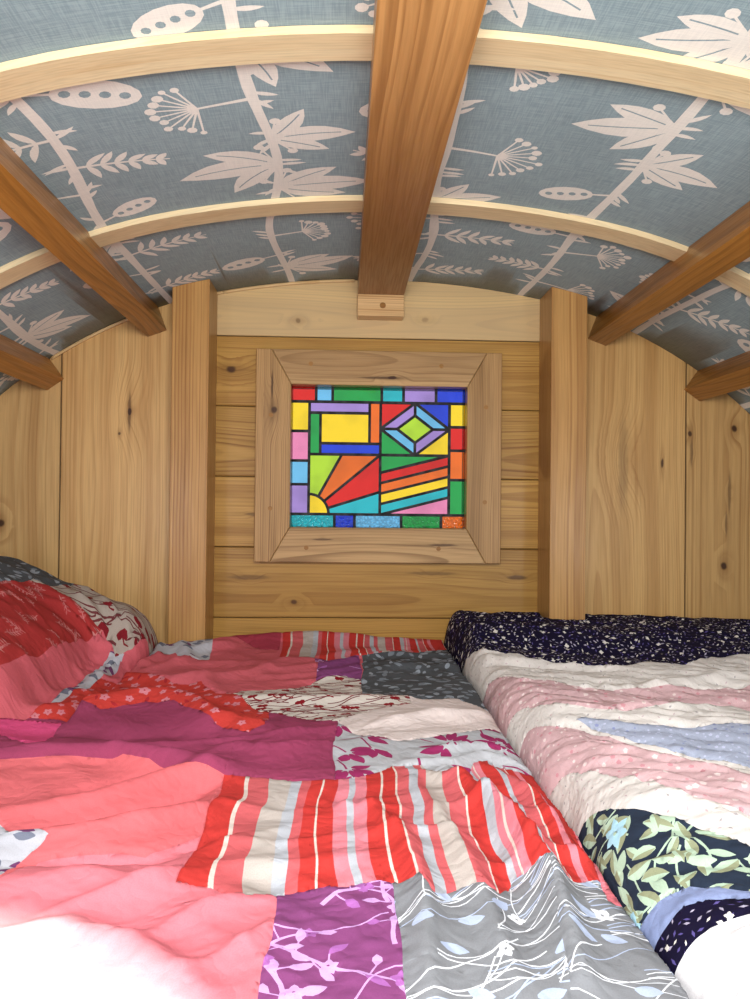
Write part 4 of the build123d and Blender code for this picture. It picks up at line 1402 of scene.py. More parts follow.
    def streams(self, box: tuple, scale: float) -> None:
        """Long pale lines that flow together and cross, with round leaves on them."""
        for x, y in self.spots(box, 0.042 * scale, 0.85):
            lean = 0.45 + 0.9 * ripple(x * 6, y * 6, 5.0)
            for number in range(self.pick((2, 3, 4))):
                turn, length = lean + 0.07 * number, self.between(0.09, 0.2)
                line = self.flow(x, y + number * 0.0036, turn, length, 0.0062, 0.8)
                self.stroke(line, self.between(0.00032, 0.0007), self.pick((1, 1, 2)))
            if self.share() < 0.4:
                self.stroke(self.flow(x, y, lean + 1.1, 0.05, 0.0062, 1.2), 0.0005, 1)
        for x, y in self.spots(box, 0.036 * scale, 0.6):
            turn = self.between(-0.6, 0.9)
            self.leaf(x, y, turn, self.between(0.0165, 0.0215) * scale, 0.0105 * scale, 2)
        for x, y in self.spots(box, 0.07 * scale, 0.5):
            self.flower(x, y, self.between(0.006, 0.0095) * scale, 4, 1)

    def vine(self, box: tuple, scale: float) -> None:
        """Crooked branches with paired leaves and blossoms."""
        for x, y in self.spots(box, 0.075 * scale, 1.0):
            turn = self.between(0.2, 2.2)
            line = self.flow(x, y, turn, self.between(0.07, 0.12), 0.007, 1.9)
            self.stroke(line, [0.0019 - 0.0011 * k / len(line) for k in range(len(line))], 1)
            for number, spot in enumerate(line[2::2]):
                side = 1 if number % 2 else -1
                way = turn + side * self.between(0.7, 1.2)
                stalk = self.flow(*spot, way, 0.014, 0.006, 1.2)
                self.stroke(stalk, 0.0006, 1)
                length, ink = self.between(0.012, 0.019), self.pick((1, 1, 2))
                self.leaf(*stalk[-1], way, length, 0.0075, ink)
            for spot in (line[-1], line[len(line) // 2]):
                self.flower(*spot, self.between(0.006, 0.0095), 5, self.pick((1, 2)))
        for x, y in self.spots(box, 0.09 * scale, 0.6):
            self.stroke(self.flow(x, y, self.between(-0.4, 0.5), 0.1, 0.007, 1.4), 0.0007, 1)

    def ditsy(self, box: tuple, scale: float) -> None:
        """Tiny scattered flowers and leaves."""
        for x, y in self.spots(box, 0.0092 * scale, 0.9):
            length, ink = self.between(0.0045, 0.008) * scale, self.pick((1, 2, 2, 3, 3))
            self.mark(x, y, length, 0.4, ink)
        for x, y in self.spots(box, 0.027 * scale, 0.7):
            self.flower(x, y, self.between(0.003, 0.005) * scale, 4, 1)

    def ticks(self, box: tuple, scale: float) -> None:
        """Tiny pale marks."""
        for x, y in self.spots(box, 0.0155 * scale, 0.8):
            self.mark(x, y, 0.0048, 0.45, self.pick((1, 2)))

    def flecks(self, box: tuple, scale: float) -> None:
        """Faint small spots."""
        for x, y in self.spots(box, 0.013 * scale, 0.7):
            self.blob(x, y, self.between(0.0014, 0.0034) * scale, self.pick((1, 1, 2)), 5)

    def garden(self, box: tuple, scale: float) -> None:
        """Crowded two-toned leaves with large soft blooms."""
        for x, y in self.spots(box, 0.034 * scale, 0.9):
            self.stroke(self.flow(x, y, self.share() * math.tau, 0.05, 0.007, 1.4), 0.001, 1)
        for x, y in self.spots(box, 0.018 * scale, 0.97):
            turn, length = self.share() * math.tau, self.between(0.019, 0.031) * scale
            self.leaf(x, y, turn, length, length * 0.45, 1, 2 if self.share() < 0.75 else 0)
        for x, y in self.spots(box, 0.085 * scale, 0.75):
            self.flower(x, y, self.between(0.011, 0.019) * scale, 6, self.pick((3, 3, 4)), 1)


@dataclass(frozen=True)
class Fold:
    """A soft ridge, or with a negative height a crease, along a line on the flat cloth."""

    line: tuple[Point, ...]
    width: float
    height: float
    lean: float = 0.0

    def near(self, x: float, y: float) -> bool:
        """Whether a point may lie within its reach."""
        reach = 3.0 * self.width
        xs, ys = [point[0] for point in self.line], [point[1] for point in self.line]
        return min(xs) - reach < x < max(xs) + reach and min(ys) - reach < y < max(ys) + reach

    def lift(self, x: float, y: float) -> float:
        """Its height at a point.

        Args:
            x: Place across.
            y: Place along.

        Returns:
            Metres above the cloth.
        """
        if not self.near(x, y):
            return 0.0
        best, share, side = 9.0, 0.0, 1.0
        runs = len(self.line) - 1
        for number in range(runs):
            (ax, ay), (bx, by) = self.line[number], self.line[number + 1]
            run_x, run_y = bx - ax, by - ay
            t = ((x - ax) * run_x + (y - ay) * run_y) / (run_x**2 + run_y**2)
            t = held(t)
            off_x, off_y = x - ax - t * run_x, y - ay - t * run_y
            gap = math.hypot(off_x, off_y)
            if gap < best:
                best, share = gap, (number + t) / runs
                side = math.copysign(1.0, run_x * off_y - run_y * off_x)
        wide = self.width * (1 + self.lean * side)
        swell = math.sin(math.pi * (0.08 + 0.84 * share)) ** 0.6
        return self.height * swell * (1 / (1 + (best / wide) ** 2) ** 1.5)


def fold(width: float, height: float, *line: float, lean: float = 0.0) -> Fold:
    """A fold from its width, its height and its line's x and y in turn, in millimetres."""
    return Fold(points(*line), width / 1000, height / 1000, lean)


@dataclass(frozen=True)
class Roll:
    """A rounded edge: its width seen from above, and how much more cloth goes down over it."""

    wide: float = 0.03
    more: float = 0.0

    def over(self, place: float, end: float, way: int) -> Point:
        """Carries a point of the flat cloth over the edge.

        Args:
            place: Where the point is on the flat cloth.
            end: Where the pad ends.
            way: 1 where the pad lies above that, -1 where below.

        Returns:
            Its place seen from above, and its share of the full height.
        """
        turn = (self.wide - way * (place - end)) / (self.wide + self.more)
        turn = held(turn) * math.pi / 2
        if not turn:
            return place, 1.0
        return end + way * self.wide * (1 - math.sin(turn)), math.cos(turn)


@dataclass
class Pad:
    """A quilted or stuffed layer: a crumpled top of patches over a flat back.

    Its folds die out towards its rim, over a narrower band on the right where it lies against
    another pad. A later patch shows only where the ones before it leave it uncovered.
    """

    name: str
    x: Point
    y: Point
    base: float
    height: float
    patches: tuple[Patch, ...]
    node: str
    notches: tuple[Point, ...] = ()
    cells: Point = (0.0048, 0.0075)
    creases: tuple[Fold, ...] = ()
    seam: float = 0.0013
    rolls: tuple[Roll, Roll, Roll, Roll] = (Roll(), Roll(), Roll(), Roll())
    against: float = 1.0
    ease: float = 0.006
    fill: float = 0.35
    hung: tuple["Pad", ...] = ()
    calm_rim: float = 0.03

    def __post_init__(self) -> None:
        """Finds the flat cloth's own reach."""
        more = [roll.more for roll in self.rolls]
        self.flat_x = (self.x[0] - more[0], self.x[1] + more[1])
        self.flat_y = (self.y[0] - more[2], self.y[1] + more[3])

    def outline(self) -> list[Point]:
        """The flat cloth's outline, with its back corners cut as listed."""
        (left, right), (front, back) = self.flat_x, self.flat_y
        ends = self.notches or ((right, back), (left, back))
        return [(left, front), (right, front), *ends]

    def owner(self, x: float, y: float) -> int:
        """The number of the patch that a point of the flat cloth belongs to."""
        for number, patch in enumerate(self.patches):
            if patch.holds(x, y):
                return number
        return -1

    def cell(self, y: float) -> float:
        """The gap between the grid's points, finer near the camera."""
        share = held((y + 0.25) / 0.35)
        return self.cells[0] + (self.cells[1] - self.cells[0]) * share

    def roll(self, side: int, y: float) -> Roll:
        """The roundness of the left, right, front or back edge."""
        return self.rolls[side]

    def plan(self, x: float, y: float) -> tuple[float, float, float]:
        """Where a point of the flat cloth is seen from above, and its share of the full height."""
        left, one = self.roll(0, y).over(x, self.x[0], 1)
        right, two = self.roll(1, y).over(x, self.x[1], -1)
        low, three = self.roll(2, y).over(y, self.y[0], 1)
        high, four = self.roll(3, y).over(y, self.y[1], -1)
        return (left if one < 1 else right), (low if three < 1 else high), one * two * three * four

    def grid(self) -> list[Point]:
        """Points over the cloth, closer in its rolled edges."""
        made = []
        y, row = self.flat_y[0], 0
        while y < self.flat_y[1]:
            gap = self.cell(y)
            x = self.flat_x[0] + gap * (0.5 if row % 2 else 0.05)
            while x < self.flat_x[1]:
                made.append((x, y + 0.0004))
                edge = min(x - self.flat_x[0], self.flat_x[1] - x) < 0.03
                x += gap * (0.6 if edge else 1.0)
            edge = min(y - self.flat_y[0], self.flat_y[1] - y) < 0.035
            y += gap * (0.5 if edge else ROW_PITCH)
            row += 1
        return made

    def top(self, x: float, y: float) -> float:
        """Height of the top above the base, before it is crumpled."""
        return self.height

    def warp(self, x: float, y: float) -> Point:
        """How far the flat cloth is dragged sideways at a point."""
        return (
            0.009 * ripple(x * 6, y * 6, 3.3) + 0.004 * ripple(x * 16, y * 22, 1.3),
            0.009 * ripple(x * 6, y * 6, 8.1) + 0.003 * ripple(x * 20, y * 16, 6.1),
        )

    def inset(self, x: float, y: float) -> float:
        """Distance of a point of the flat cloth from its outline."""
        return min(
            (Vector((x, y)) - geometry.intersect_point_line((x, y), a, b)[0].xy).length
            if 0 < geometry.intersect_point_line((x, y), a, b)[1] < 1 else math.dist((x, y), a)
            for a, b in self.rim
        )

    def place(self, x: float, y: float) -> Vector:
        """Where a point of the flat cloth lies on top."""
        (left, right), (front, back) = self.flat_x, self.flat_y
        near = min(x - left, self.against * (right - x), y - front, back - y)
        free = min(1.0, max(near, 0.0) / self.calm_rim)
        still = min(1.0, self.inset(x, y) / self.calm_rim)
        flat_x, flat_y, lift = self.plan(x, y)
        dx, dy = self.warp(x, y)
        x, y = flat_x + dx * still, flat_y + dy * still
        raised = self.folds(x, y) + sum(fold.lift(x, y) for fold in self.creases)
        return Vector((x, y, self.base + lift * (self.top(x, y) + raised * free)))

    def build(self) -> Piece:
        slots: dict[Cotton, int] = {}
        bm = self.shape(slots)
        for part in self.hung:
            mesh = bpy.data.meshes.new("part")
            extra = part.shape(slots)
            extra.to_mesh(mesh)
            extra.free()
            bm.from_mesh(mesh)
            bpy.data.meshes.remove(mesh)
        piece = add_piece(self.name, bm, list(slots))
        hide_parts(self.node)
        return piece

    def shape(self, slots: dict[Cotton, int]) -> Mesh:
        """Makes the pad's closed shape.

        Args:
            slots: The material slot of each cotton so far, which it adds to.

        Returns:
            The mesh.
        """
        corners = self.outline()
        self.rim = list(zip(corners, [*corners[1:], corners[0]]))
        rings = [along(corners, 0.006, True)]
        rings += [along(patch.line, 0.006, True) for patch in self.patches]
        owners, inks = [], []
        for number, patch in enumerate(self.patches):
            box = patch.box()
            low = (max(box[0], self.flat_x[0]), max(box[1], self.flat_y[0]))
            high = (min(box[2], self.flat_x[1]), min(box[3], self.flat_y[1]))
            art = CottonPrint(seed=31 + number).draw(patch.cloth, (*low, *high))
            for ring, ink in zip(art.outlines, art.inks):
                step = 1 if patch.cloth.motif is Motif.STRIPES else max(1, len(ring) // 6)
                if any(self.owner(*spot) == number for spot in ring[::step]):
                    rings.append(ring)
                    owners.append(number)
                    inks.append(ink)
        flat, cells = cut_cloth(self.grid(), rings)
        bm = bmesh.new()
        sheet = bm.loops.layers.uv.new("cloth")
        verts = [bm.verts.new(self.place(*spot)) for spot in flat]
        seams: dict[int, set[int]] = {}
        first = 1 + len(self.patches)
        for cell, family in cells:
            if 0 not in family:
                continue
            owner = min((one - 1 for one in family if 1 <= one < first), default=len(self.patches) - 1)
            marks = [one - first for one in family if one >= first and owners[one - first] == owner]
            cloth = self.patches[owner].cloth.ink(inks[max(marks)] if marks else 0)
            face = bm.faces.new([verts[index] for index in cell])
            face.material_index = slots.setdefault(cloth, len(slots))
            for loop, index in zip(face.loops, cell):
                loop[sheet].uv = flat[index]
                seams.setdefault(index, set()).add(owner)
        for index, owned in seams.items():
            if len(owned) > 1:
                verts[index].co.z = max(verts[index].co.z - self.seam, self.base + 0.001)
        self.close(bm, {verts[index]: spot for index, spot in enumerate(flat)}, sheet)
        self.stand(bm)
        return bm

    def stand(self, bm: Mesh) -> None:
        """Turns the finished shape the way that it hangs, if it doesn't lie flat."""

    def close(self, bm: Mesh, spots: dict, sheet: object) -> None:
        """Drops a wall from the rim of the top and fills in the back."""
        loose = [vert for vert in bm.verts if not vert.link_faces]
        rim = [edge for edge in bm.edges if edge.is_boundary]
        for edge in rim:
            for vert in edge.verts:
                vert.co.z = max(vert.co.z, self.base + 0.002)
                vert.co.xy = self.plan(*spots[vert])[:2]
        made = bmesh.ops.extrude_edge_only(bm, edges=rim)["geom"]
        for item in made:
            if isinstance(item, bmesh.types.BMVert):
                item.co.z = self.base
        low = [item for item in made if isinstance(item, bmesh.types.BMEdge) and item.is_boundary]
        bmesh.ops.triangle_fill(bm, use_beauty=True, use_dissolve=False, edges=low)
        for face in bm.faces:
            for loop in face.loops:
                if loop[sheet].uv.length == 0:
                    loop[sheet].uv = loop.vert.co.xy
        bmesh.ops.delete(bm, geom=loose, context="VERTS")
        bmesh.ops.recalc_face_normals(bm, faces=bm.faces)

    def wrinkles(self, x: float, y: float, turn: float, long: float, short: float, seed: float) -> float:
        """Long soft wrinkles that run one way.

        Args:
            x: Place across.
            y: Place along.
            turn: The way that they run, in degrees from X.
            long: Wrinkles in a metre along their run.
            short: Wrinkles in a metre across it.
            seed: Moves them.

        Returns:
            A height from about -0.5 to 1.
        """
        c, s = math.cos(math.radians(turn)), math.sin(math.radians(turn))
        bend = 0.05 * ripple(x * 4, y * 4, seed + 5.0)
        ahead, across = x * c + y * s + bend, -x * s + y * c + bend
        wave = ripple(ahead * long, across * short, seed)
        return 1 - 2.4 * abs(wave)

    def folds(self, x: float, y: float) -> float:
        """Height of the cloth's lumps and wrinkles at a place."""
        lumps = ripple(x * 5.5, y * 5.5, 4.0)
        share = held(0.5 + 1.1 * ripple(x * 3.3, y * 3.3, 9.0))
        calm = held(0.65 + 0.9 * ripple(x * 4.6, y * 4.6, 15.0), 0.25)
        one = self.wrinkles(x, y, 28.0, 5.0, 17.0, 0.0)
        two = self.wrinkles(x, y, -38.0, 6.0, 22.0, 2.0)
        fine = self.wrinkles(x, y, 52.0, 16.0, 46.0, 7.0)
        small = self.wrinkles(x, y, 14.0, 20.0, 60.0, 11.0)
        return self.ease * (
            0.7 * lumps + calm * (0.8 * share * one + 0.7 * (1 - share) * two)
            + calm * (0.34 * share * fine + 0.28 * (1 - share) * small)
        )


@dataclass
class Drop(Pad):
    """A part that hangs down the mattress's front, made lying flat with its Y for the height."""

    front: float = -0.6446

    def stand(self, bm: Mesh) -> None:
        """Turns it upright against the mattress."""
        turn = Matrix.Translation((0.0, self.front, 0.0)) @ Matrix.Rotation(math.radians(90), 4, "X")
        bmesh.ops.transform(bm, matrix=turn, verts=bm.verts)


@dataclass
class Quilt(Pad):
    """The folded quilt: a rolled back edge, then bands puckered by its rows of stitches."""

    roll_height: float = 0.102
    roll_slope: float = 0.026
    roll_front: float = 0.31
    roll_back: float = 0.42
    channel: float = 0.026

    def roll(self, side: int, y: float) -> Roll:
        """The roundness of an edge, wider along the left where it thins towards the front."""
        if side:
            return self.rolls[side]
        share = held((0.3 - y) / 0.7)
        return Roll(self.rolls[0].wide + 0.055 * share, self.rolls[0].more)

    def top(self, x: float, y: float) -> float:
        """Height of the top above the base, before it is crumpled."""
        share = smooth_step((y - self.roll_front) / (self.roll_back - self.roll_front))
        low = self.height - 0.012 + 0.008 * math.sin((y + 0.6 * (x - 0.12)) * 21 + 1.1)
        high = self.roll_height - self.roll_slope * (x - self.x[0])
        return low + (high - low) * share

    def folds(self, x: float, y: float) -> float:
        """Height of the puckers between its rows of stitches."""
        run = y + 0.45 * (x - 0.14) + 0.014 * ripple(x * 6, y * 6, 2.0)
        rows = abs(math.sin(math.pi * run / self.channel)) ** 0.6
        pucker = self.wrinkles(x, y, -24.0, 12.0, 44.0, 3.0)
        cross = self.wrinkles(x, y, 66.0, 8.0, 40.0, 8.0)
        wide = self.wrinkles(x, y, -26.0, 3.0, 10.0, 1.0)
        return 0.003 * rows + self.ease * (0.7 * pucker + 0.35 * cross + 0.9 * wide)


@dataclass
class Pillow(Pad):
    """The pillow: plump at the wagon's side, gathered at its far corner, its hem flat on the bed."""

    far: tuple[Point, ...] = (
        (-0.73, 0.222), (-0.634, 0.178), (-0.57, 0.154), (-0.5, 0.128), (-0.46, 0.108), (-0.43, 0.085),
    )
    near: tuple[Point, ...] = (
        (-0.73, 0.222), (-0.634, 0.166), (-0.575, 0.126), (-0.545, 0.098), (-0.527, 0.06),
        (-0.515, 0.038), (-0.43, 0.036),
    )
    pinch: Point = (-0.478, 0.365)

    def level(self, line: tuple[Point, ...], x: float) -> float:
        """Height of a profile at a place."""
        for (ax, az), (bx, bz) in zip(line, line[1:]):
            if x < bx:
                return az + (bz - az) * max(0.0, (x - ax) / (bx - ax))
        return line[-1][1]

    def top(self, x: float, y: float) -> float:
        """Height of the top above the base, before it is crumpled."""
        share = smooth_step((y - 0.33) / 0.09)
        far = sum(self.level(self.far, x + step) for step in (-0.02, 0.0, 0.02)) / 3
        near = sum(self.level(self.near, x + step) for step in (-0.007, 0.0, 0.007)) / 3
        return near + (far - near) * share

    def folds(self, x: float, y: float) -> float:
        """Height of its gathers, which run out from the pinch."""
        off_x, off_y = x - self.pinch[0], y - self.pinch[1]
        reach = math.hypot(off_x, off_y)
        fan = 1 - 2.4 * abs(ripple(math.atan2(off_y, off_x) * 3.0, reach * 5, 2.0))
        deep = 0.012 * math.exp(-reach / 0.15) * min(1.0, reach / 0.03)
        long = self.wrinkles(x, y, 30.0, 5.0, 13.0, 4.0)
        short = self.wrinkles(x, y, -30.0, 12.0, 34.0, 6.0)
        return deep * fan + self.ease * (long + 0.4 * short) * min(1.0, reach / 0.1)


@dataclass
class Bedding:
    """Mattress, duvet, quilt and pillow."""

    side: float = 0.9087
    back: float = 0.624
    front: float = -0.644
    deck: float = 0.9
    top: float = 1.04
    lift: float = 0.0006
    post: tuple[float, float, float] = (0.35, 0.438, 0.526)
    pillow_right: float = -0.4387
    pillow_front: float = -0.01
    pillow_back: float = 0.53
    duvet_right: float = 0.1447
    hem: float = 0.938
    draw: float = 0.004
    swell: float = 0.003
    voxel: float = 0.014
    pressure: float = 4.0
    quilt_left: float = 0.1465

    def settle(self, body: Piece) -> None:
        """Applies a body's modifiers to its mesh."""
        graph = bpy.context.evaluated_depsgraph_get()
        shape = bpy.data.meshes.new_from_object(body.evaluated_get(graph))
        old = body.data
        body.modifiers.clear()
        body.data = shape
        bpy.data.meshes.remove(old)

    def blow(self, body: Piece, frames: int = 12) -> None:
        """Blows a body up as cloth, and keeps the result within the swell.

        Args:
            body: The body, with even faces.
            frames: How long it swells.
        """
        still = [vert.co.copy() for vert in body.data.vertices]
        cloth = body.modifiers.new("cloth", "CLOTH")
        cloth.settings.use_pressure = True
        cloth.settings.uniform_pressure_force = self.pressure
        cloth.settings.effector_weights.gravity = 0.0
        cloth.settings.quality = 4
        cloth.point_cache.frame_end = frames
        for number in range(1, frames + 1):
            bpy.context.scene.frame_set(number)
        self.settle(body)
        bpy.context.scene.frame_set(1)
        for vert, rest in zip(body.data.vertices, still):
            step = vert.co - rest
            if step.length > self.swell:
                vert.co = rest + step.normalized() * self.swell

    def mattress(self) -> None:
        """A cotton-filled mattress in striped ticking."""
        bm = bmesh.new()
        bm.from_mesh(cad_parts["mattress"].data)
        bmesh.ops.remove_doubles(bm, verts=bm.verts, dist=1e-5)
        mesh = bpy.data.meshes.new("core")
        bm.to_mesh(mesh)
        bm.free()
        body = bpy.data.objects.new("core", mesh)
        bpy.context.scene.collection.objects.link(body)
        low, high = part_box("mattress")
        middle = (low + high) / 2
        for vert in mesh.vertices:
            for axis in range(3):
                share = 1 - 2 * self.draw / (high[axis] - low[axis])
                vert.co[axis] = middle[axis] + (vert.co[axis] - middle[axis]) * share
        remesh = body.modifiers.new("voxels", "REMESH")
        remesh.mode, remesh.voxel_size = "VOXEL", self.voxel
        self.settle(body)
        smooth = body.modifiers.new("ease", "SMOOTH")
        smooth.factor, smooth.iterations = 0.5, 10
        self.settle(body)
        self.blow(body)
        bm = bmesh.new()
        bm.from_mesh(body.data)
        spent = body.data
        bpy.data.objects.remove(body)
        bpy.data.meshes.remove(spent)
        for vert in bm.verts:
            flat = (vert.co.z - self.deck) / (self.top - self.deck)
            if 0.1 < flat < 0.9:
                vert.co.y += 0.002 * math.sin(flat * math.pi * 3) * (1 if vert.co.y > 0 else -1)
        ticking = Ticking("mattress_ticking", "e4ddcc", "5f7189")
        piece = add_piece("mattress_body", bm, [ticking])
        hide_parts("mattress")

    def pillow(self) -> None:
        """The pillow in its patchwork case, against the left side."""
        c = Cloths
        left, right, low, high = -self.side, self.pillow_right, self.pillow_front, self.pillow_back
        patches = (
            patch(
                c.slate, -1000, 300, -673, 315, -659, 342, -645, 396, -617, 400, -605, 444, -600, 600,
                -1000, 600,
            ),
            patch(
                c.sprigged, -1000, 50, -600, 30, -554, 56, -553, 112, -545, 209, -539, 331, -515, 380,
                -537, 381, -572, 386, -617, 400, -680, 370, -1000, 350,
            ),
            patch(
                c.rose, -1000, -120, -530, -120, -528, -20, -511, 18, -502, 35, -500, 130, -503, 241,
                -500, 333, -494, 365, -515, 380, -600, 300, -1000, 300,
            ),
            patch(
                c.drops, -660, 370, -500, 372, -486, 354, -458, 370, -440, 420, -300, 420, -300, 700,
                -660, 700,
            ),
            patch(c.floral, -510, 100, -485, 100, -472, 360, -510, 360),
            patch(c.rose, -520, 250, -300, 270, -300, 500, -520, 500),
            patch(c.blossom, -530, 30, -300, 50, -300, 300, -530, 300),
            patch(c.plum, -1000, -200, -300, -200, -300, 700, -1000, 700),
        )
        Pillow(
            "pillow_body", (left, right), (low, high), self.top + self.lift, 0.2, patches, "pillow",
            cells=(0.006, 0.0065), ease=0.006, fill=0.7,
            rolls=(Roll(0.04, 0.02), Roll(0.035, 0.03), Roll(0.1, 0.06), Roll(0.06, 0.04)),
        ).build()

    def duvet(self) -> None:
        """The duvet in its patchwork cover, cut back where the pillow lies."""
        c = Cloths
        left, edge, front, back = -self.side, self.duvet_right, self.front - 0.015, self.back
        post_near, post_far, post_face = -self.post[0], self.pillow_right, self.post[2]
        patches = (
            patch(c.purple, -112, 245, -64, 264, -39, 241, -45, 438, -128, 435),
            patch(
                c.floral, -500, 380, -440, 400, -400, 440, -371, 390, -325, 406, -350, 600, -370, 640,
                -500, 640,
            ),
            patch(c.crimson, -370, 700, -351, 600, -244, 502, -207, 504, -210, 700),
            patch(
                c.stripes, -210, 700, -199, 450, -128, 435, -45, 438, 17, 468, 70, 490, 126, 507,
                200, 520, 200, 700,
            ),
            patch(c.slate, -39, 120, 26, 127, 44, 119, 100, 130, 136, 81, 200, 60, 200, 600, -39, 600),
            patch(
                c.berries, -187, 61, -176, 59, -137, 24, -78, 0, -31, 68, 26, 95, 26, 127, -39, 241,
                -64, 264, -112, 245, -142, 189, -236, 173, -245, 148,
            ),
            patch(
                c.blossom, -406, 41, -348, 77, -310, 69, -265, 18, -239, -23, -194, -52, -175, -32,
                -175, 80, -245, 148, -266, 143, -302, 210, -343, 207, -454, 290, -472, 275, -460, 60,
            ),
            patch(c.rose, -500, 200, -100, 100, -100, 600, -400, 700, -500, 700),
            patch(c.bright, -560, -30, -501, -65, -430, -120, -450, 40, -560, 40),
            patch(
                c.plum, -570, -165, -418, -163, -322, -153, -289, -167, -235, -205, -199, -210,
                -169, -208, -122, -218, -83, -220, -79, -5, -90, 100, -570, 200,
            ),
            patch(c.blush, -79, 0, -51, -49, -1, -80, 67, -44, 139, -12, 200, -50, 200, 200, -79, 200),
            patch(
                c.magenta, -83, -219, -50, -205, -16, -172, 15, -172, 26, -215, 50, -230, 74, -167,
                94, -152, 101, -170, 129, -179, 200, -180, 200, 100, -83, 100,
            ),
            patch(c.pink, 132, -455, 200, -455, 200, -270, 140, -300, 137, -415),
            patch(
                c.stripes, -199, -439, -174, -437, -149, -461, -114, -448, -90, -448, -63, -441,
                -37, -441, -14, -449, -6, -467, 7, -456, 18, -448, 29, -452, 46, -454, 63, -429,
                87, -427, 96, -440, 111, -440, 134, -420, 200, -420, 200, 0, -199, 0,
            ),
            patch(
                c.floral, -600, -430, -339, -428, -339, -393, -328, -375, -325, -361, -381, -315,
                -600, -300,
            ),
            patch(
                c.coral, -620, -440, -336, -434, -322, -392, -281, -381, -237, -378, -213, -353,
                -190, -330, -190, 0, -620, 0,
            ),
            patch(
                c.purple, -113, -900, -33, -900, -33, -580, -32, -506, -37, -400, -130, -400,
                -125, -460,
            ),
            patch(
                c.sprig, -40, -900, 30, -900, 69, -572, 75, -528, 77, -505, 90, -456, 100, -300,
                -40, -300,
            ),
            patch(c.sprig, 20, -900, 300, -900, 300, -300, 90, -300),
            # The lighter pink and its white glare are painted light on the coral cotton near the camera.
            patch(c.painted_glare, -620, -900, -100, -900, -100, -300, -620, -300),
            patch(c.berries, -920, -900, -620, -900, -620, -400, -920, -400),
            patch(c.slate, -920, -400, -620, -400, -620, -150, -920, -150),
            patch(c.rose, -1000, -1000, 1000, -1000, 1000, 1000, -1000, 1000),
        )
        creases = (
            fold(20, 14, -460, 270, -350, 224, -310, 250, -270, 158),
            fold(26, 24, -520, 0, -420, 75, -345, 115, -280, 65, -243, 0, -190, -20, lean=-0.3),
            fold(30, -12, -460, -40, -300, -35, -200, -70),
            fold(9, 7, -360, -120, -246, -100, -177, -72, -80, -20),
            fold(20, 12, -240, -120, -160, -130, -100, -100),
            fold(22, 20, -550, -160, -420, -150, -330, -140, -250, -172, -200, -210, lean=0.2),
            fold(11, -8, -360, -240, -312, -205, -270, -185),
            fold(18, 15, -420, -310, -313, -268, -250, -212, -200, -190),
            fold(14, -13, -380, -350, -298, -310, -240, -262, -200, -215),
            fold(17, 13, -420, -370, -310, -352, -250, -325, -200, -285),
            fold(13, -12, -360, -400, -279, -392, -230, -388, -180, -340),
            fold(20, 10, -340, -440, -270, -430, -200, -440),
            fold(10, 8, -280, -480, -240, -455, -200, -420),
            fold(9, 8, -210, -520, -170, -475, -140, -460),
            fold(10, 8, -170, -560, -130, -520, -115, -490),
            fold(16, 12, -330, -520, -260, -500, -200, -530, -150, -580),
            fold(12, 15, -50, -280, -20, -380, -12, -460, -20, -580),
            fold(11, 12, 0, -220, 20, -340, 32, -450, 35, -560),
            fold(14, 28, 40, -200, 75, -330, 90, -430, 75, -560),
            fold(10, -6, 60, -280, 56, -400, 58, -500),
            fold(10, 13, 85, -170, 118, -270, 125, -400),
            fold(8, 5, -100, -260, -60, -300, 0, -290),
            fold(9, 5, -200, -270, -130, -300, -70, -290),
            fold(9, 5, -200, -350, -120, -370, -50, -350),
            fold(10, 5, -190, -400, -120, -410, -60, -400),
            fold(10, 8, 0, -190, 40, -230, 100, -250),
            fold(9, 7, -50, -360, 0, -350, 50, -370),
            fold(9, 8, 20, -300, 60, -290, 110, -310),
            fold(9, 7, 40, -420, 90, -390, 130, -400),
            fold(70, 16, -500, -600, -300, -600, -140, -700),
            fold(14, 14, -400, 500, -360, 400, -410, 300),
            fold(12, 12, -300, 520, -370, 450),
            fold(12, 14, -440, 520, -420, 400, -450, 300),
            fold(30, 14, -250, 120, -120, 100, 20, 120, lean=0.3),
            fold(22, 13, -20, -10, 60, 30, 140, 40, lean=0.3),
            fold(12, 10, 20, -120, 90, -100, 140, -120),
            fold(11, 11, 0, -160, 50, -170, 90, -140, 140, -170),
            fold(18, 10, -320, 220, -220, 310, -170, 430),
            fold(20, 12, -100, 260, 20, 330, 140, 360),
            fold(14, 8, -60, 440, 30, 470, 130, 450),
            fold(12, -8, 140, 100, 138, -200, 140, -660),
            fold(40, 20, -450, 460, -370, 500, -300, 560, -140, 585, -50, 590),
            fold(35, 12, -200, 590, 0, 585, 200, 580),
        )
        # The hem below the glared front patch takes the glare's near-white, as a painted highlight.
        edges = ((-0.62, c.berries), (-0.113, c.pale), (-0.033, c.purple), (1.0, c.sprig))
        hems, start = [], -1.0
        for end, cloth in edges:
            hems.append(Patch(cloth, ((start, 0.5), (end, 0.5), (end, 1.5), (start, 1.5))))
            start = end
        drop = Drop(
            "duvet_drop", (left, edge), (self.hem, self.top), 0.0, 0.0145, tuple(hems), "duvet",
            cells=(0.009, 0.009), ease=0.0035,
            rolls=(Roll(0.012), Roll(0.012), Roll(0.009), Roll(0.002)),
        )
        Pad(
            "duvet_body", (left, edge), (front, back), self.top + self.lift, 0.034, patches, "duvet",
            notches=(
                (edge, back), (post_near, back), (post_near, post_face), (post_far, post_face),
                (post_far, self.pillow_front), (left, self.pillow_front),
            ),
            ease=0.007, creases=creases, against=5.0, hung=(drop,),
            rolls=(Roll(), Roll(0.006), Roll(0.035), Roll(0.02)),
        ).build()

    def quilt(self) -> None:
        """The quilt, folded in bands on the right."""
        c = Cloths
        left, right = self.quilt_left, self.side
        front = self.front - 0.1

        def ahead(cloth: Cotton, *line: float) -> Patch:
            """All of the quilt that lies in front of a line."""
            ends = points(*line)
            return Patch(cloth, ((1.0, front), (1.0, ends[-1][1]), *rounded(ends)[::-1], (0.0, front)))

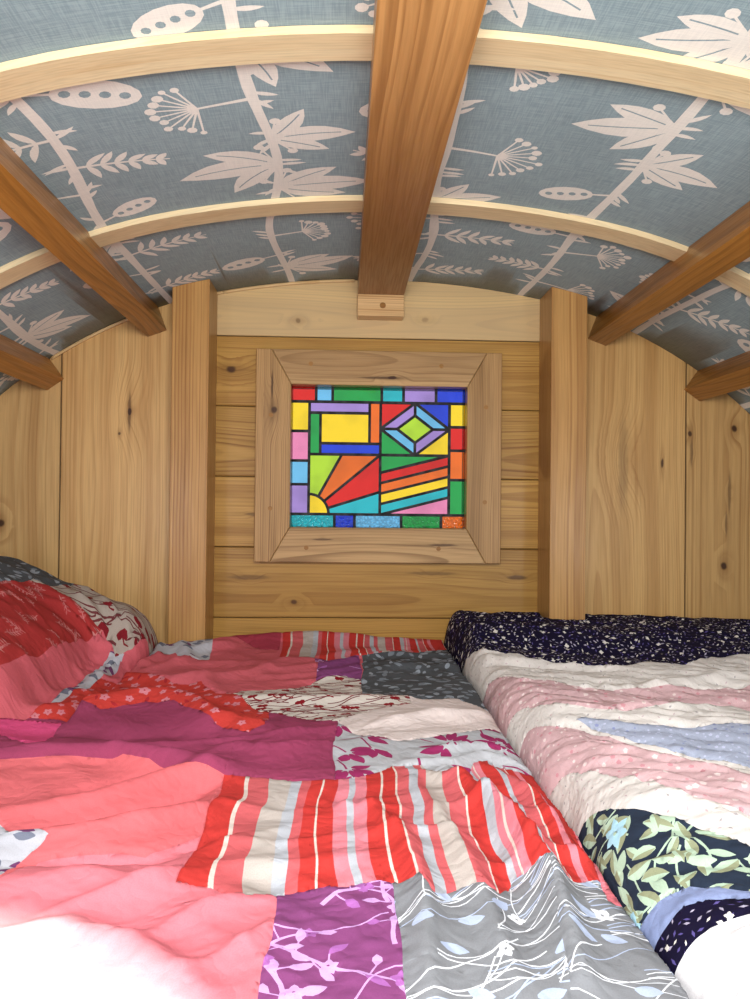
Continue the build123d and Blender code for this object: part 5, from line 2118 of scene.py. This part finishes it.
        patches = (
            ahead(c.white, 0, -525, 142, -525, 157, -527, 175, -532, 187, -537, 250, -560),
            ahead(c.navy, 0, -490, 141, -495, 156, -495, 176, -504, 199, -521, 250, -550),
            ahead(c.violet, 0, -470, 142, -471, 161, -475, 181, -484, 205, -513, 250, -540),
            ahead(
                c.garden, 0, -310, 126, -315, 152, -342, 176, -367, 195, -385, 216, -418,
                238, -459, 300, -530,
            ),
            ahead(
                c.cream, 0, -200, 130, -213, 161, -251, 177, -295, 197, -324, 226, -381,
                261, -410, 340, -470, 500, -500,
            ),
            ahead(
                c.dusty, 0, -80, 128, -82, 143, -80, 168, -109, 228, -149, 260, -190,
                262, -250, 323, -302, 420, -370, 600, -420,
            ),
            patch(
                c.lavender, 213, -124, 248, -165, 287, -213, 347, -262, 450, -320, 600, -360,
                1000, -360, 1000, -170, 600, -170, 395, -167, 277, -146, 229, -119,
            ),
            ahead(
                c.cream, 0, -10, 138, -13, 158, -29, 171, -61, 240, -104, 290, -110,
                475, -60, 800, -70,
            ),
            ahead(
                c.dusty, 0, 190, 120, 179, 139, 184, 167, 149, 203, 127, 222, 67,
                286, 41, 359, 53, 513, 36, 800, 30,
            ),
            ahead(
                c.cream, 0, 400, 99, 390, 144, 315, 182, 281, 209, 269, 247, 207,
                304, 173, 359, 146, 401, 160, 554, 268, 644, 280, 800, 290,
            ),
            Patch(c.navy, ((0.0, front), (1.0, front), (1.0, 0.7), (0.0, 0.7))),
        )
        near, far, face = self.post
        creases = (
            fold(14, -10, 160, 240, 220, 200, 340, 130),
            fold(13, 9, 170, 100, 250, 50, 380, 60, 600, 100),
            fold(12, -7, 170, 20, 260, -40, 400, -30, 600, 0),
            fold(12, 8, 170, -60, 260, -100, 420, -90),
            fold(12, -8, 190, -130, 250, -190, 320, -260, 450, -310),
            fold(12, 8, 170, -180, 220, -230, 300, -330, 360, -380),
            fold(10, -6, 170, -240, 220, -290, 280, -370),
            fold(12, 7, 170, -350, 220, -380, 260, -440),
        )
        Quilt(
            "quilt_body", (left, right), (self.front, self.back), self.top + self.lift, 0.08,
            patches, "quilt",
            notches=(
                (right, self.back), (far, self.back), (far, face), (near, face), (near, self.back),
                (left - 0.06, self.back),
            ),
            cells=(0.0052, 0.0072), creases=creases, ease=0.0045,
            rolls=(Roll(0.032, 0.06), Roll(), Roll(0.045, 0.03), Roll(0.02)),
        ).build()

    def build(self) -> None:
        """Makes up the bed."""
        self.mattress()
        self.pillow()
        self.duvet()
        self.quilt()


@dataclass(frozen=True)
class Ticking(Finish):
    """Mattress ticking with close stripes, on Object coordinates."""

    name: str
    colour: str
    stripe: str
    pitch: float = 0.022

    def build(self) -> Material:
        """Builds the material."""
        g = Graph(self.name)
        place = g.coordinates()
        x = g.separate(place)[0]
        share = g.math("FRACT", g.math("DIVIDE", x, self.pitch))
        wide = g.math("MULTIPLY", g.remap(share, 0.1, 0.12), g.remap(share, 0.3, 0.28))
        thin = g.math("MULTIPLY", g.remap(share, 0.42, 0.44), g.remap(share, 0.5, 0.48))
        threads = g.noise(place, 700.0, 2.0)
        colour = g.mix(g.math("ADD", wide, thin), shade(self.colour), shade(self.stripe))
        colour = g.dark(colour, g.remap(threads, 0.35, 0.7, 0.0, 0.12))
        return g.surface(
            Base_Color=colour, Roughness=0.85, Normal=g.bump(threads, 0.0006, 0.5), Sheen_Weight=0.1
        )


@dataclass
class Studio:
    """Camera, lamps, sky, floor and backdrop."""

    eye: tuple[float, float, float] = (-0.075, -1.02, 1.368)
    yaw: float = 2.37
    pitch: float = 0.65
    roll: float = 0.6
    lens: float = 27.03
    sky: float = 0.75
    floor_half: float = 9.0
    lamps: tuple[tuple[str, tuple, tuple, Point, float], ...] = (
        ("flash", (-0.05, -1.08, 1.57), (0.0, 0.6, 1.6), (0.4, 0.3), 16.5),
        ("glint_right", (0.74, -0.62, 1.3), (0.4, 0.53, 1.34), (0.12, 0.24), 0.8),
        ("glint_left", (-0.68, -0.62, 1.33), (-0.42, 0.53, 1.34), (0.12, 0.3), 0.8),
        ("key", (-3.2, -3.4, 4.2), (0.0, 0.0, 0.9), (2.5, 2.5), 120.0),
        ("fill", (3.6, 2.6, 3.4), (0.0, 0.0, 0.9), (3.0, 3.0), 90.0),
    )

    def camera(self) -> None:
        """Stands the camera where the photograph was taken."""
        lens = bpy.data.cameras.new("camera")
        lens.lens, lens.sensor_width, lens.sensor_fit = self.lens, 36.0, "AUTO"
        lens.clip_start = 0.01
        made = bpy.data.objects.new("camera", lens)
        turn = (
            Matrix.Rotation(math.radians(-self.yaw), 4, "Z")
            @ Matrix.Rotation(math.radians(90 + self.pitch), 4, "X")
            @ Matrix.Rotation(math.radians(self.roll), 4, "Z")
        )
        made.matrix_world = Matrix.Translation(self.eye) @ turn
        bpy.context.scene.collection.objects.link(made)
        bpy.context.scene.camera = made

    def light(self) -> None:
        """Hangs the lamps."""
        for name, place, target, size, power in self.lamps:
            data = bpy.data.lights.new(name, "AREA")
            data.shape, data.size, data.size_y, data.energy = "RECTANGLE", *size, power
            lamp = bpy.data.objects.new(name, data)
            aim = (Vector(target) - Vector(place)).to_track_quat("-Z", "Y")
            lamp.matrix_world = Matrix.Translation(place) @ aim.to_matrix().to_4x4()
            lamp.visible_camera = lamp.visible_transmission = False
            lamp.visible_glossy = name != "flash"
            bpy.context.scene.collection.objects.link(lamp)

    def world(self) -> None:
        """A plain sky that is white where it is seen."""
        world = bpy.data.worlds.new("sky")
        bpy.context.scene.world = world
        world.use_nodes = True
        tree = world.node_tree
        tree.nodes.clear()
        rays = tree.nodes.new("ShaderNodeLightPath")
        share = rays.outputs["Is Camera Ray"]
        for kind in ("Is Glossy Ray", "Is Transmission Ray"):
            either = tree.nodes.new("ShaderNodeMath")
            either.operation = "MAXIMUM"
            tree.links.new(share, either.inputs[0])
            tree.links.new(rays.outputs[kind], either.inputs[1])
            share = either.outputs[0]
        mix = tree.nodes.new("ShaderNodeMixShader")
        tree.links.new(share, mix.inputs[0])
        lit, seen = ((1.0, 0.98, 0.95, 1.0), self.sky), ((1.0, 1.0, 1.0, 1.0), 1.0)
        for number, (colour, strength) in enumerate((lit, seen), 1):
            light = tree.nodes.new("ShaderNodeBackground")
            light.inputs[0].default_value, light.inputs[1].default_value = colour, strength
            tree.links.new(light.outputs[0], mix.inputs[number])
        out = tree.nodes.new("ShaderNodeOutputWorld")
        tree.links.new(mix.outputs[0], out.inputs[0])

    def floor(self) -> None:
        """A plain pale floor."""
        bm = bmesh.new()
        bmesh.ops.create_grid(bm, x_segments=1, y_segments=1, size=self.floor_half)
        mesh = bpy.data.meshes.new("studio_floor")
        bm.to_mesh(mesh)
        bm.free()
        mesh.materials.append(Paint("studio_floor", "e2e0dc", "d8d5d0", 0.6).material())
        made = bpy.data.objects.new("studio_floor", mesh)
        bpy.context.scene.collection.objects.link(made)

    def build(self) -> None:
        """Sets the scene up."""
        self.camera()
        self.light()
        self.world()
        self.floor()
        bpy.context.scene.view_settings.view_transform = "Standard"


def main() -> None:
    """Builds the scene piece by piece."""
    logging.basicConfig(level=logging.INFO, format="%(name)s %(message)s")
    Studio().build()
    Carpentry().dress()
    RoofCloth().build()
    Fixings().build()
    Bedding().build()


if __name__ == "__main__":
    main()
